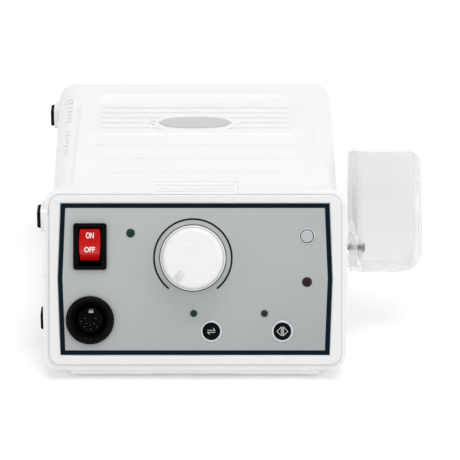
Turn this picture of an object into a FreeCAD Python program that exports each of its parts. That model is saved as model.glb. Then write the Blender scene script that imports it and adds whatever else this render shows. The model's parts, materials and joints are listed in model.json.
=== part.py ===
"""Nail drill machine: a control box with a clear handpiece cup, in millimetres.

Row frame: X to the right, Y to the rear, Z up. The origin lies on the floor, under the middle of
the whole object with its cup. Sizes count X and Y from the housing's own middle instead, and each
body is placed by what lies between the two. The control panel leans back, and what sits on it is
drawn in panel coordinates: x to the right, y up the panel and z out of it, with their zero at the
speed knob.
"""

import FreeCAD, Part
import math
import os
import Sketcher
from FreeCAD import Placement, Rotation, Vector

SIZES = [
    # Middle of the whole object
    ("centre_x", 17.13, "middle of the whole object, right of the housing's middle"),
    ("centre_y", 3.47, "middle of the whole object, behind the housing's middle"),
    # Panel plane
    ("face_tilt", 27.5, "lean of the control panel from upright, in degrees"),
    ("face_y", -59.5, "row Y of the knob centre on the panel surface"),
    ("face_z", 51.7, "row Z of the knob centre on the panel surface"),
    # Housing
    ("parting_z", 43.6, "height where the two shells meet"),
    ("collar_half", 69.5, "half width of the front collar at the parting line"),
    ("collar_top", 77.7, "top of the front collar"),
    ("collar_rear_y", -43.0, "where the collar starts to draw in"),
    ("waist_y", -31.0, "where the body behind the collar is narrowest"),
    ("waist_half", 66.5, "half width at the waist"),
    ("rear_half", 69.4, "half width at the rear"),
    ("rear_y", 85.0, "rear face"),
    ("front_reach", 92.0, "how far forward the shells are drawn before the face is cut"),
    ("shoulder_z", 75.7, "top of the shoulders beside the plateau"),
    ("plateau_z", 76.7, "top of the plateau"),
    ("plateau_half", 56.0, "half width of the plateau"),
    ("plateau_ramp", 1.15, "width of the slope beside the plateau"),
    ("rise_front_y", 52.0, "where the shoulders start to rise to the plateau"),
    ("rise_rear_y", 61.0, "where they are level with it"),
    ("underside_z", 6.0, "underside of the shell beside the base"),
    ("side_lean", 1.0, "draft of a side wall, over its height"),
    ("collar_round", 6.0, "rounding of the collar's top corners"),
    ("shoulder_round", 9.0, "rounding of the body's top corners"),
    ("low_round", 6.0, "rounding of the bottom corners"),
    ("rear_round", 3.0, "rounding of the rear edges"),
    ("wall", 2.5, "wall thickness of the shells"),
    ("rim_setback", 1.4, "rim of the collar, behind the panel plane"),
    # Base
    ("base_half", 56.4, "half width of the base plateau at its foot"),
    ("base_ramp", 1.5, "slope of the base plateau's ends"),
    ("base_front_y", -78.6, "front of the base plateau"),
    ("base_rear_y", 80.0, "rear of the base plateau"),
    ("base_z", 1.2, "underside of the base plateau"),
    ("base_edge", 0.8, "bevel of the base plateau"),
    ("base_notch_half", 19.5, "half width of the finger notch in the base"),
    ("base_notch_depth", 0.8, "depth of the finger notch"),
    ("base_notch_run", 12.0, "length of the finger notch"),
    ("floor_vent_long", 34.0, "length of a vent in the base"),
    ("floor_vent_wide", 2.2, "width of a vent in the base"),
    ("floor_vent_pitch", 6.0, "spacing of the vents in the base"),
    ("floor_vent_y", -28.0, "first vent in the base"),
    # Tray and dish in the plateau
    ("tray_half", 53.0, "half width of the tray"),
    ("tray_front_y", -26.0, "front of the tray"),
    ("tray_rear_y", 21.9, "rear of the tray"),
    ("tray_depth", 1.0, "depth of the tray"),
    ("tray_corner", 4.0, "corner radius of the tray"),
    ("tray_lip", 0.35, "upright edge of the tray, above its sloping ends"),
    ("tray_end_slope", 5.0, "width of the slope at each end of the tray"),
    ("tray_side_slope", 0.8, "width of the slope at its front and rear"),
    ("ridge_half", 46.8, "half length of the tray's ridges"),
    ("ridge_width", 1.2, "width of a ridge"),
    ("ridge_rise", 0.35, "height of a ridge"),
    ("ridge_first_y", -19.1, "first ridge"),
    ("ridge_pitch", 14.95, "spacing of the ridges"),
    ("dish_half", 51.0, "half width of the dish"),
    ("dish_front_y", 27.1, "front of the dish"),
    ("dish_rear_y", 68.8, "rear of the dish"),
    ("dish_depth", 1.7, "depth of the dish"),
    ("dish_corner", 9.0, "corner radius of the dish"),
    ("dish_end_slope", 5.2, "width of the slope at each end of the dish"),
    ("dish_side_slope", 2.4, "width of the slope at its front and rear"),
    ("rib_half", 45.6, "half length of the dish's ribs"),
    ("rib_width", 2.2, "width of a rib"),
    ("rib_rise", 1.0, "height of a rib"),
    ("rib_first_y", 32.8, "first rib"),
    ("rib_pitch", 5.95, "spacing of the ribs"),
    ("badge_y", 36.4, "centre of the badge"),
    ("badge_long", 35.4, "length of the badge"),
    ("badge_wide", 12.8, "width of the badge"),
    ("island_border", 3.4, "border of the island round the badge"),
    ("badge_thick", 1.0, "thickness of the badge plate"),
    ("badge_sink", 0.7, "depth of the badge recess"),
    # Grip recess in the collar's top
    ("grip_half", 19.6, "half width of the grip recess"),
    ("grip_rear_y", -30.5, "rear of the grip recess"),
    ("grip_sink", 0.6, "depth of the grip recess"),
    ("groove_half", 17.8, "half length of a grip groove"),
    ("groove_width", 1.0, "width of a grip groove"),
    ("groove_sink", 0.7, "depth of a grip groove below the recess"),
    ("groove_first_y", -42.4, "first grip groove"),
    ("groove_pitch", 4.3, "spacing of the grip grooves"),
    # Louvres in the left shoulder
    ("louvre_inner", 60.4, "inner end of a louvre"),
    ("louvre_outer", 66.6, "outer end of a louvre, where the shoulder has dropped below its floor"),
    ("louvre_width", 1.7, "width of a louvre"),
    ("louvre_pitch", 4.0, "spacing of the louvres"),
    ("louvre_front_y", 3.0, "first louvre of the front group"),
    ("louvre_rear_y", 39.0, "first louvre of the rear group"),
    ("louvre_depth", 1.7, "depth of a louvre below the shoulder's top"),
    # Front frame
    ("frame_half", 66.3, "half width of the front frame"),
    ("frame_up", 28.8, "top of the front frame, up the panel"),
    ("frame_down", 48.5, "bottom of the front frame, down the panel"),
    ("frame_corner", 5.0, "corner radius of the front frame"),
    ("frame_proud", 0.6, "front of the frame, above the panel surface"),
    ("frame_seat", 3.9, "seat of the frame, below the panel surface"),
    ("frame_round", 0.9, "rounding of the frame's front edge"),
    ("frame_gap", 0.1, "gap round the front frame"),
    ("frame_back", 3.0, "rear of the frame's plate, below the panel surface"),
    ("skirt_depth", 4.0, "length of the skirt behind the frame"),
    ("skirt_thick", 1.6, "thickness of the skirt"),
    ("skirt_side", 5.0, "skirt's side, in from the frame's edge"),
    ("skirt_top", 3.2, "skirt's top, in from the frame's edge"),
    ("skirt_low", 4.7, "skirt's bottom, in from the frame's edge"),
    # Label plate
    ("label_thick", 0.6, "thickness of the label plate"),
    ("label_half_ends", 61.0, "half width of the label at its top and bottom"),
    ("label_half_kink", 62.3, "half width of the label at its widest"),
    ("label_up", 24.8, "top of the label"),
    ("label_kink", 9.2, "widest line of the label, below the knob"),
    ("label_down", 44.0, "bottom of the label"),
    ("label_gap", 0.15, "gap round the label in its recess"),
    ("label_bevel", 0.45, "bevel of the recess round the label"),
    # Rocker switch
    ("switch_x", -47.7, "centre of the switch across the panel"),
    ("switch_up", 5.2, "centre of the switch, up the panel"),
    ("switch_wide", 15.2, "width of the switch bezel"),
    ("switch_tall", 21.2, "height of the switch bezel"),
    ("switch_rim", 1.9, "thickness of the switch bezel"),
    ("switch_corner", 1.3, "corner radius of the switch bezel"),
    ("switch_edge", 0.5, "rounding of the switch bezel's front edge"),
    ("switch_body_wide", 12.9, "width of the switch body"),
    ("switch_body_tall", 19.4, "height of the switch body"),
    ("switch_body_deep", 14.0, "depth of the switch body"),
    ("switch_gap", 0.1, "gap round the switch body in its cut-out"),
    ("window_wide", 10.4, "width of the switch window"),
    ("window_half", 8.8, "half height of the switch window"),
    ("window_deep", 10.5, "depth of the switch window"),
    ("rocker_wide", 9.7, "width of the rocker"),
    ("rocker_face_half", 5.85, "half length of the rocker's face"),
    ("rocker_face", 8.0, "rocker face in front of its axis"),
    ("rocker_dip", 0.6, "hollow of the rocker's face"),
    ("rocker_waist_half", 7.6, "half length of the rocker where its ends slope in"),
    ("rocker_waist", 4.4, "height of those slopes above the axis"),
    ("rocker_belly_half", 3.6, "half length of the rocker behind its axis"),
    ("rocker_belly", 3.6, "rocker behind its axis"),
    ("rocker_axis_deep", 4.5, "rocker axis below the panel surface"),
    ("rocker_throw", 15.0, "lean of the rocker to each side, in degrees"),
    ("rocker_pin", 1.0, "radius of the rocker's pin"),
    ("rocker_pin_long", 0.8, "rocker's pin in the wall of the switch"),
    ("pivot_gap", 0.05, "running clearance of pins and shafts"),
    ("blade_wide", 4.8, "width of a terminal blade"),
    ("blade_thick", 0.8, "thickness of a terminal blade"),
    ("blade_long", 8.0, "length of a terminal blade"),
    # Speed knob and potentiometer
    ("knob_x", -1.0, "centre of the knob across the panel"),
    ("knob_base_radius", 14.85, "radius of the knob's skirt"),
    ("knob_radius", 14.4, "radius of the knob's cap at its foot"),
    ("knob_top_radius", 13.5, "radius of the knob's cap at its top"),
    ("nut_clear", 7.0, "hole of the label round the knob's nut"),
    ("knob_height", 15.5, "top of the knob above the panel"),
    ("knob_skirt", 1.2, "thickness of the knob's skirt"),
    ("knob_lift", 0.5, "gap under the knob"),
    ("knob_round", 2.2, "rounding of the knob's top edge"),
    ("knob_wall", 1.8, "wall of the knob"),
    ("knob_hub", 4.6, "radius of the knob's hub"),
    ("knob_rest", 36.0, "pointer from straight down, at the slow end, in degrees"),
    ("pointer_wide", 3.4, "width of the pointer's flat"),
    ("pointer_start", 7.5, "inner end of the pointer's flat, from the knob's axis"),
    ("pointer_drop", 4.5, "fall of the pointer's flat at the knob's edge"),
    ("shaft_radius", 3.0, "radius of the potentiometer shaft"),
    ("shaft_top", 12.0, "top of the shaft above the panel"),
    ("shaft_flat", 1.5, "depth of the shaft's flat"),
    ("pot_radius", 8.2, "radius of the potentiometer body"),
    ("bush_radius", 3.6, "radius of the potentiometer bush"),
    ("bush_top", 1.6, "top of the bush above the panel"),
    ("pot_nut_flats", 10.0, "nut of the potentiometer, across flats"),
    ("pot_nut_thick", 2.0, "thickness of the potentiometer nut"),
    # Control board
    ("board_front", 11.0, "front of the control board, below the panel surface"),
    ("board_thick", 1.6, "thickness of the boards"),
    ("board_left", -33.0, "left edge of the control board"),
    ("board_right", 59.0, "right edge of the control board"),
    ("board_up", 18.0, "top edge of the control board"),
    ("board_down", 40.0, "bottom edge of the control board"),
    ("post_radius", 3.0, "radius of a screw post"),
    ("board_screw", 1.25, "radius of a board screw"),
    ("board_screw_long", 7.0, "length of a board screw"),
    ("board_screw_head", 2.4, "radius of a board screw head"),
    ("board_screw_cap", 1.6, "height of a board screw head"),
    # Buttons
    ("key_radius", 3.85, "radius of the round keys"),
    ("key_gap", 0.15, "gap round a key"),
    ("key_proud", 0.9, "key face above the panel"),
    ("key_travel", 0.8, "travel of a key"),
    ("key_flange", 0.9, "flange of a key, beyond its radius"),
    ("key_flange_thick", 1.0, "thickness of a key's flange"),
    ("key_stem", 1.5, "radius of a key's stem"),
    ("key_ring", 4.9, "radius of the ring round a key"),
    ("ring_proud", 0.35, "ring above the panel"),
    ("reset_ring", 3.75, "radius of the ring round the reset key"),
    ("mode_x", 7.35, "hand or foot key across the panel"),
    ("turn_x", 39.6, "direction key across the panel"),
    ("key_down", 33.25, "round keys below the knob"),
    ("reset_x", 50.8, "reset key across the panel"),
    ("reset_up", 9.85, "reset key above the knob"),
    ("reset_radius", 2.85, "radius of the reset key"),
    ("tact_side", 6.0, "side of a tact switch"),
    ("tact_height", 3.4, "height of a tact switch"),
    ("tact_well", 1.9, "radius of the opening in a tact switch"),
    ("tact_floor", 1.2, "bottom of that opening above the board"),
    # Lamps
    ("power_lamp_x", -29.3, "power lamp across the panel"),
    ("power_lamp_up", 11.3, "power lamp above the knob"),
    ("power_lamp_radius", 1.9, "radius of the power lamp"),
    ("mode_lamp_x", -0.6, "hand or foot lamp across the panel"),
    ("turn_lamp_x", 31.5, "direction lamp across the panel"),
    ("lamp_down", 25.2, "small lamps below the knob"),
    ("small_lamp_radius", 1.5, "radius of the small lamps"),
    ("load_lamp_x", 50.8, "overload lamp across the panel"),
    ("load_lamp_down", 10.9, "overload lamp below the knob"),
    ("load_lamp_radius", 2.15, "radius of the overload lamp"),
    ("lamp_proud", 0.9, "lamp above the panel"),
    ("lamp_long", 5.0, "lamp body behind the panel surface"),
    ("lamp_flange", 0.6, "flange of a lamp, beyond its radius"),
    ("lead_side", 0.5, "side of a lamp's lead"),
    # Handpiece socket
    ("socket_x", -47.7, "centre of the handpiece socket across the panel"),
    ("socket_down", 28.2, "centre of the handpiece socket below the knob"),
    ("socket_flange", 11.0, "radius of the socket's flange"),
    ("socket_flange_thick", 2.4, "thickness of the socket's flange"),
    ("socket_edge", 1.4, "rounding of the flange"),
    ("socket_barrel", 9.6, "radius of the socket's barrel"),
    ("socket_bore", 8.6, "radius of the socket's mouth"),
    ("mouth_deep", 4.0, "floor of the socket's mouth, below the panel surface"),
    ("socket_deep", 13.0, "depth of the socket's barrel, below the panel surface"),
    ("socket_floor", 1.5, "floor of the socket's barrel"),
    ("insert_radius", 8.2, "radius of the contact insert"),
    ("insert_sink", 0.2, "face of the contact insert, below the floor of the mouth"),
    ("insert_island", 5.85, "radius of the insert's island"),
    ("insert_groove", 7.4, "outer radius of the groove round that island"),
    ("insert_groove_deep", 4.0, "depth of that groove"),
    ("contact_radius", 0.5, "radius of a contact pin"),
    ("contact_well", 0.75, "radius of a contact hole"),
    ("contact_deep", 3.6, "depth of a contact hole"),
    ("contact_short", 0.3, "contact pins below the insert's face"),
    ("contact_ring", 4.3, "radius of the outer ring of contacts"),
    ("contact_inner", 2.5, "radius of the inner ring of contacts"),
    ("key_slot_x", 0.25, "key slot, right of the socket's centre"),
    ("key_slot_up", 4.05, "key slot above the socket's centre"),
    ("key_slot_wide", 2.3, "width of the key slot"),
    ("key_slot_tall", 1.9, "height of the key slot"),
    ("socket_nut_radius", 11.3, "radius of the socket's ring nut"),
    ("socket_nut_thick", 2.5, "thickness of the socket nut"),
    # Side feet and base feet
    ("foot_y_front", -44.0, "front side feet"),
    ("foot_y_rear", 69.5, "rear side feet"),
    ("foot_z_top", 65.2, "upper side feet"),
    ("foot_z_low", 12.2, "lower side feet"),
    ("foot_seat_x", -70.3, "face that carries the side feet"),
    ("foot_thick", 1.75, "thickness of a side foot"),
    ("foot_long", 8.7, "side foot along the box"),
    ("foot_tall", 8.3, "side foot up the box"),
    ("foot_round", 0.9, "rounding of a side foot"),
    ("foot_border", 1.1, "seat round a side foot"),
    ("base_foot_radius", 5.5, "radius of a base foot"),
    ("base_foot_x", 45.5, "base feet across"),
    ("base_foot_front_y", -66.0, "front base feet"),
    ("base_foot_rear_y", 70.0, "rear base feet"),
    ("base_foot_sink", 0.6, "recess of a base foot"),
    # Housing screws
    ("boss_x", 48.0, "screw bosses across"),
    ("boss_front_y", -26.0, "front screw bosses"),
    ("boss_rear_y", 55.0, "rear screw bosses"),
    ("boss_radius", 4.7, "radius of a screw boss"),
    ("screw_radius", 1.6, "radius of a housing screw"),
    ("screw_gap", 0.3, "gap round a screw's shank"),
    ("screw_head", 3.1, "radius of a housing screw's head"),
    ("screw_head_thick", 2.2, "height of a housing screw's head"),
    ("screw_seat_z", 30.0, "seat of the housing screws"),
    ("screw_long", 26.0, "length of a housing screw's shank"),
    # Rear panel
    ("deck_half", 47.0, "half width of the rear opening"),
    ("deck_low_z", 21.0, "bottom of the rear opening"),
    ("deck_high_z", 65.0, "top of the rear opening"),
    ("deck_corner", 4.0, "corner radius of the rear opening"),
    ("deck_overlap", 2.5, "rear panel behind the edge of its opening"),
    ("deck_thick", 2.0, "thickness of the rear panel"),
    ("inlet_inset", 20.0, "mains inlet, in from the left edge of the rear opening"),
    ("inlet_z", 43.0, "mains inlet up"),
    ("inlet_flange_wide", 30.0, "width of the inlet's flange"),
    ("inlet_flange_tall", 16.0, "height of the inlet's flange"),
    ("inlet_flange_thick", 2.0, "thickness of the inlet's flange"),
    ("inlet_wide", 22.0, "width of the inlet's body"),
    ("inlet_tall", 12.4, "height of the inlet's body"),
    ("inlet_deep", 17.0, "depth of the inlet's body"),
    ("inlet_mouth_half", 4.35, "half height of the inlet's mouth"),
    ("inlet_pitch", 8.6, "spacing of the inlet's pins"),
    ("inlet_pin", 1.2, "radius of the inlet's pins"),
    ("inlet_mouth_deep", 12.5, "depth of the inlet's mouth"),
    ("jack_x", 4.0, "foot pedal jack across"),
    ("jack_z", 43.0, "foot pedal jack up"),
    ("jack_bush", 5.6, "radius of the jack's bush"),
    ("jack_bore", 3.3, "radius of the jack's bore"),
    ("jack_proud", 4.0, "bush beyond the rear panel"),
    ("jack_body", 15.0, "side of the jack's body"),
    ("jack_deep", 20.0, "depth of the jack's body"),
    ("jack_bore_deep", 16.0, "bore of the jack below the rear panel"),
    ("jack_nut_flats", 14.0, "nut of the jack, across flats"),
    ("jack_nut_thick", 2.4, "thickness of the jack's nut"),
    ("fuse_inset", 16.0, "fuse holder, in from the right edge of the rear opening"),
    ("fuse_z", 43.0, "fuse holder up"),
    ("fuse_flange", 8.2, "radius of the fuse holder's flange"),
    ("fuse_flange_thick", 2.0, "thickness of that flange"),
    ("fuse_body", 6.2, "radius of the fuse holder's body"),
    ("fuse_deep", 28.0, "depth of the fuse holder's body"),
    ("fuse_floor", 1.5, "floor of the fuse holder"),
    ("fuse_bore", 5.0, "radius of the fuse holder's bore"),
    ("fuse_cap_head", 6.4, "radius of the fuse cap's head"),
    ("fuse_cap_thick", 4.5, "height of the fuse cap's head"),
    ("fuse_cap_slot", 1.4, "width of the cap's slot"),
    ("fuse_cap_long", 8.0, "plug of the fuse cap"),
    ("fuse_radius", 2.6, "radius of the fuse"),
    ("fuse_long", 20.0, "length of the fuse"),
    # Main board and what stands on it
    ("main_left", -59.0, "left edge of the main board"),
    ("main_right", -9.0, "right edge of the main board"),
    ("main_front_y", -18.0, "front edge of the main board"),
    ("main_rear_y", 48.0, "rear edge of the main board"),
    ("main_z", 14.0, "underside of the main board"),
    ("stand_inset", 5.0, "main board screws, in from its edges"),
    ("stand_radius", 3.2, "radius of a main board stand"),
    ("can_radius", 8.0, "radius of the capacitor"),
    ("can_tall", 25.0, "height of the capacitor"),
    ("can_x", -19.5, "capacitor across"),
    ("can_y", 34.0, "capacitor along"),
    ("sink_x", -43.5, "heat sink across"),
    ("sink_y", 20.0, "heat sink along"),
    ("sink_long", 30.0, "length of the heat sink"),
    ("sink_deep", 16.0, "depth of the heat sink"),
    ("sink_tall", 28.0, "height of the heat sink"),
    ("sink_fin", 1.4, "thickness of a fin"),
    ("sink_fins", 6, "fins on the heat sink"),
    ("chip_wide", 10.2, "width of the power transistor"),
    ("chip_tall", 16.0, "height of the power transistor"),
    ("chip_thick", 4.4, "thickness of the power transistor"),
    ("bridge_side", 15.0, "side of the rectifier"),
    ("bridge_tall", 5.0, "height of the rectifier"),
    ("bridge_x", -18.0, "rectifier across"),
    ("bridge_y", 6.0, "rectifier along"),
    ("plug_long", 15.0, "length of a board connector"),
    ("plug_deep", 6.0, "depth of a board connector"),
    ("plug_tall", 8.5, "height of a board connector"),
    # Transformer
    ("core_x", 23.0, "transformer across"),
    ("core_y", 22.0, "transformer along"),
    ("core_foot_z", 9.5, "underside of the transformer"),
    ("core_wide", 48.0, "width of the laminations"),
    ("core_tall", 40.0, "height of the laminations"),
    ("core_stack", 20.0, "thickness of the laminations"),
    ("core_limb", 8.0, "width of an outer limb"),
    ("core_window_wide", 8.0, "width of a window"),
    ("coil_over", 6.5, "winding beyond the laminations"),
    ("coil_gap", 0.3, "gap round the winding"),
    ("coil_round", 2.5, "rounding of the winding"),
    ("strap_thick", 1.0, "thickness of the bracket"),
    ("strap_wide", 12.0, "width of the bracket"),
    ("strap_ear", 7.0, "length of a bracket ear"),
    # Handpiece cup
    ("cup_y", -23.5, "cup axis along the box"),
    ("cup_z", 38.7, "cup axis above the floor"),
    ("cup_lean", 20.5, "lean of the cup at rest, in degrees"),
    ("cup_in_x", 71.3, "inner side of the cup"),
    ("cup_out_low_x", 106.6, "outer side of the cup, at its bottom"),
    ("cup_out_top_x", 105.0, "outer side of the cup, at its top"),
    ("cup_deep", 27.0, "cup from front to rear"),
    ("cup_top", 46.0, "rim of the cup above its axis"),
    ("cup_bottom", 11.0, "bottom of the cup below its axis"),
    ("cup_wall", 2.0, "wall of the cup"),
    ("cup_corner", 8.0, "rounding of the cup's edges"),
    ("cup_out_round", 10.0, "rounding of its bottom at the outer end"),
    ("cup_dip", 7.5, "rounding of the rim at its outer end"),
    ("notch_x", 75.9, "wall that carries the cup"),
    ("notch_high", 2.2, "top of that wall above the axis"),
    ("notch_slope", 9.6, "height of the slope above that wall"),
    ("notch_half", 8.5, "half depth of the recess that this wall closes, along the box"),
    ("cup_screw", 1.35, "radius of the cup's screw"),
    ("cup_head", 2.2, "radius of the cup screw's head"),
    ("cup_head_thick", 1.5, "height of the cup screw's head"),
    ("cup_collar", 2.1, "radius of the collar behind the cup's wall"),
    ("cup_washer", 2.5, "radius of the washer inside the cup"),
    ("cup_washer_thick", 0.6, "thickness of the collar and the washer"),
    ("spacer_radius", 6.5, "radius of the spacer on the box"),
    ("spacer_face_x", 71.0, "outer face of the spacer"),
    ("spacer_seat_x", 67.6, "flat seat of the spacer on the box"),
    ("spacer_seat", 4.7, "radius of that seat"),
    ("spacer_round", 1.0, "rounding of the spacer"),
    ("nutsert_radius", 2.8, "radius of the threaded insert"),
    ("nutsert_long", 8.0, "length of the threaded insert"),
]

doc = FreeCAD.newDocument("nail_drill_machine")
sheet = doc.addObject("Spreadsheet::Sheet", "Sizes")
for number, (alias, amount, meaning) in enumerate(SIZES, start=1):
    sheet.set(f"A{number}", meaning)
    sheet.set(f"B{number}", str(amount))
    sheet.setAlias(f"B{number}", alias)
doc.recompute()


class Size:
    """A number together with the sheet expression that drives it."""

    def __init__(self, value, text):
        self.value = float(value)
        self.text = text

    def __add__(self, other):
        other = as_size(other)
        return Size(self.value + other.value, f"({self.text} + {other.text})")

    def __sub__(self, other):
        other = as_size(other)
        return Size(self.value - other.value, f"({self.text} - {other.text})")

    def __mul__(self, other):
        other = as_size(other)
        return Size(self.value * other.value, f"({self.text} * {other.text})")

    def __truediv__(self, other):
        other = as_size(other)
        return Size(self.value / other.value, f"({self.text} / {other.text})")

    def __radd__(self, other):
        return as_size(other) + self

    def __rsub__(self, other):
        return as_size(other) - self

    def __rmul__(self, other):
        return as_size(other) * self

    def __rtruediv__(self, other):
        return as_size(other) / self

    def __neg__(self):
        return Size(-self.value, f"(0 - {self.text})")


def as_size(amount):
    """Any number as a Size."""
    if isinstance(amount, Size):
        return amount
    return Size(amount, f"({float(amount)!r})")


def sine(angle):
    angle = as_size(angle)
    return Size(math.sin(math.radians(angle.value)), f"sin({angle.text})")


def cosine(angle):
    angle = as_size(angle)
    return Size(math.cos(math.radians(angle.value)), f"cos({angle.text})")


class Sheet:
    """The sheet's cells, by alias."""

    def __getattr__(self, alias):
        return Size(sheet.get(alias), f"Sizes.{alias}")


s = Sheet()
NORMALS = {"XY": 1, "YZ": 1, "XZ": -1, "panel": 1}
LEAN_AXIS = Vector(1, 0, 0)
solids = {}


def bind(owner, path, amount):
    """Ties a property of an object to the sheet."""
    owner.setExpression(path, as_size(amount).text)


def new_body(name):
    """An empty body in the housing's coordinates, whose label names its file."""
    body = doc.addObject("PartDesign::Body", name)
    body.Label = name
    body.AllowCompound = True
    bind(body, "Placement.Base.x", -s.centre_x)
    bind(body, "Placement.Base.y", -s.centre_y)
    solids[name] = body
    return body


def origin_plane(body, role):
    planes = [item for item in body.Origin.OriginFeatures if item.Role == role]
    return planes[0]


def new_sketch(body, name, plane, level):
    """A sketch parallel to a plane of its body, at a level along row X, Y or Z or the panel's normal."""
    drawing = body.newObject("Sketcher::SketchObject", name)
    role = "XY_Plane" if plane == "panel" else f"{plane}_Plane"
    drawing.AttachmentSupport = [(origin_plane(body, role), "")]
    drawing.MapMode = "FlatFace"
    level = as_size(level)
    if plane == "panel":
        drawing.AttachmentOffset = Placement(Vector(), Rotation(LEAN_AXIS, 90 - s.face_tilt.value))
        bind(drawing, "AttachmentOffset.Base.y", s.face_y - level * cosine(s.face_tilt))
        bind(drawing, "AttachmentOffset.Base.z", s.face_z + level * sine(s.face_tilt))
        bind(drawing, "AttachmentOffset.Rotation.Angle", 90 - s.face_tilt)
    else:
        bind(drawing, "AttachmentOffset.Base.z", level * NORMALS[plane])
    return drawing


def hold(drawing, kind, *where, amount):
    """A sketch dimension tied to the sheet."""
    amount = as_size(amount)
    index = drawing.addConstraint(Sketcher.Constraint(kind, *where, amount.value))
    drawing.setExpression(f"Constraints[{index}]", amount.text)


def hold_point(drawing, element, end, x, y):
    hold(drawing, "DistanceX", -1, 1, element, end, amount=x)
    hold(drawing, "DistanceY", -1, 1, element, end, amount=y)


class Disc:
    """A full circle in a sketch."""

    def __init__(self, x, y, radius):
        self.x = as_size(x)
        self.y = as_size(y)
        self.radius = as_size(radius)

    def draw(self, drawing):
        middle = Vector(self.x.value, self.y.value, 0)
        index = drawing.addGeometry(Part.Circle(middle, Vector(0, 0, 1), self.radius.value))
        hold_point(drawing, index, 3, self.x, self.y)
        hold(drawing, "Radius", index, amount=self.radius)


class Corner:
    """A corner of an outline, sharp or rounded."""

    def __init__(self, x, y, radius=None):
        self.x = as_size(x)
        self.y = as_size(y)
        self.radius = None if radius is None else as_size(radius)
        self.point = Vector(self.x.value, self.y.value, 0)

    def shape_between(self, before, after):
        """Where the rounding starts and ends, its centre, and whether it turns to the left."""
        back = (before.point - self.point).normalize()
        onward = (after.point - self.point).normalize()
        half_angle = back.getAngle(onward) / 2
        run = self.radius.value / math.tan(half_angle)
        middle = (back + onward).normalize() * (self.radius.value / math.sin(half_angle))
        turns_left = back.cross(onward).z < 0
        return self.point + back * run, self.point + onward * run, self.point + middle, turns_left


class Outline:
    """A closed outline through corners, with tangent arcs at the rounded ones."""

    def __init__(self, *corners):
        self.corners = [corner if isinstance(corner, Corner) else Corner(*corner) for corner in corners]

    def draw(self, drawing):
        count = len(self.corners)
        starts = []
        ends = []
        arcs = []
        for index, corner in enumerate(self.corners):
            before = self.corners[index - 1]
            after = self.corners[(index + 1) % count]
            if corner.radius is None:
                starts.append(corner.point)
                ends.append(corner.point)
                arcs.append(None)
                continue
            start, end, middle, turns_left = corner.shape_between(before, after)
            first, last = (start, end) if turns_left else (end, start)
            circle = Part.Circle(middle, Vector(0, 0, 1), corner.radius.value)
            arc = Part.ArcOfCircle(circle, circle.parameter(first), circle.parameter(last))
            starts.append(start)
            ends.append(end)
            arcs.append((drawing.addGeometry(arc), turns_left))
        lines = []
        for index in range(count):
            line = Part.LineSegment(ends[index], starts[(index + 1) % count])
            lines.append(drawing.addGeometry(line))
        for index, corner in enumerate(self.corners):
            self.join(drawing, corner, arcs[index], lines[index - 1], lines[index])

    def join(self, drawing, corner, arc, before, after):
        if arc is None:
            drawing.addConstraint(Sketcher.Constraint("Coincident", before, 2, after, 1))
            hold_point(drawing, after, 1, corner.x, corner.y)
            return
        element, turns_left = arc
        first, last = (1, 2) if turns_left else (2, 1)
        drawing.addConstraint(Sketcher.Constraint("Tangent", before, 2, element, first))
        drawing.addConstraint(Sketcher.Constraint("Tangent", after, 1, element, last))
        hold(drawing, "Radius", element, amount=corner.radius)
        mark = drawing.addGeometry(Part.Point(corner.point), True)
        hold_point(drawing, mark, 1, corner.x, corner.y)
        drawing.addConstraint(Sketcher.Constraint("PointOnObject", mark, 1, before))
        drawing.addConstraint(Sketcher.Constraint("PointOnObject", mark, 1, after))


class Lens:
    """A long oval with pointed ends: a flat arc on each side and straight edges to the points."""

    ARC_SHARE = 0.78
    SHOULDER_SHARE = 0.7

    def __init__(self, x, y, half_long, half_wide):
        self.x = as_size(x)
        self.y = as_size(y)
        self.half_long = as_size(half_long)
        self.half_wide = as_size(half_wide)

    def draw(self, drawing):
        left = self.x - self.half_long
        right = self.x + self.half_long
        tips = (right, left)
        lines = []
        for side in (1, -1):
            top = self.y + self.half_wide * side
            level = self.y + self.half_wide * (side * self.SHOULDER_SHARE)
            ends = [self.x + self.half_long * (side * self.ARC_SHARE),
                    self.x - self.half_long * (side * self.ARC_SHARE)]
            bend = Part.Arc(Vector(ends[0].value, level.value, 0), Vector(self.x.value, top.value, 0),
                            Vector(ends[1].value, level.value, 0))
            arc = drawing.addGeometry(bend)
            hold_point(drawing, arc, 1, ends[0], level)
            hold_point(drawing, arc, 2, ends[1], level)
            mark = drawing.addGeometry(Part.Point(Vector(self.x.value, top.value, 0)), True)
            hold_point(drawing, mark, 1, self.x, top)
            drawing.addConstraint(Sketcher.Constraint("PointOnObject", mark, 1, arc))
            first, last = tips if side > 0 else tips[::-1]
            lines.append((arc, 1, first))
            lines.append((arc, 2, last))
        edges = [self.edge_to_tip(drawing, *line) for line in lines]
        for one, other in ((0, 3), (1, 2)):
            drawing.addConstraint(Sketcher.Constraint("Coincident", edges[one], 2, edges[other], 2))
            hold_point(drawing, edges[one], 2, lines[one][2], self.y)

    def edge_to_tip(self, drawing, arc, end, tip):
        start = drawing.getPoint(arc, end)
        edge = drawing.addGeometry(Part.LineSegment(start, Vector(tip.value, self.y.value, 0)))
        drawing.addConstraint(Sketcher.Constraint("Coincident", edge, 1, arc, end))
        return edge


def rectangle(left, right, low, high, radius=None):
    return Outline((left, low, radius), (right, low, radius), (right, high, radius), (left, high, radius))


def centred(x, y, wide, tall, radius=None):
    x = as_size(x)
    y = as_size(y)
    return rectangle(x - wide / 2, x + wide / 2, y - tall / 2, y + tall / 2, radius)


def hexagon(x, y, flats):
    """A nut's outline from its size across flats."""
    reach = as_size(flats) / math.sqrt(3)
    x = as_size(x)
    y = as_size(y)
    turns = [60 * step for step in range(6)]
    return Outline(*[(x + reach * math.cos(math.radians(turn)), y + reach * math.sin(math.radians(turn)))
                     for turn in turns])


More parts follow.
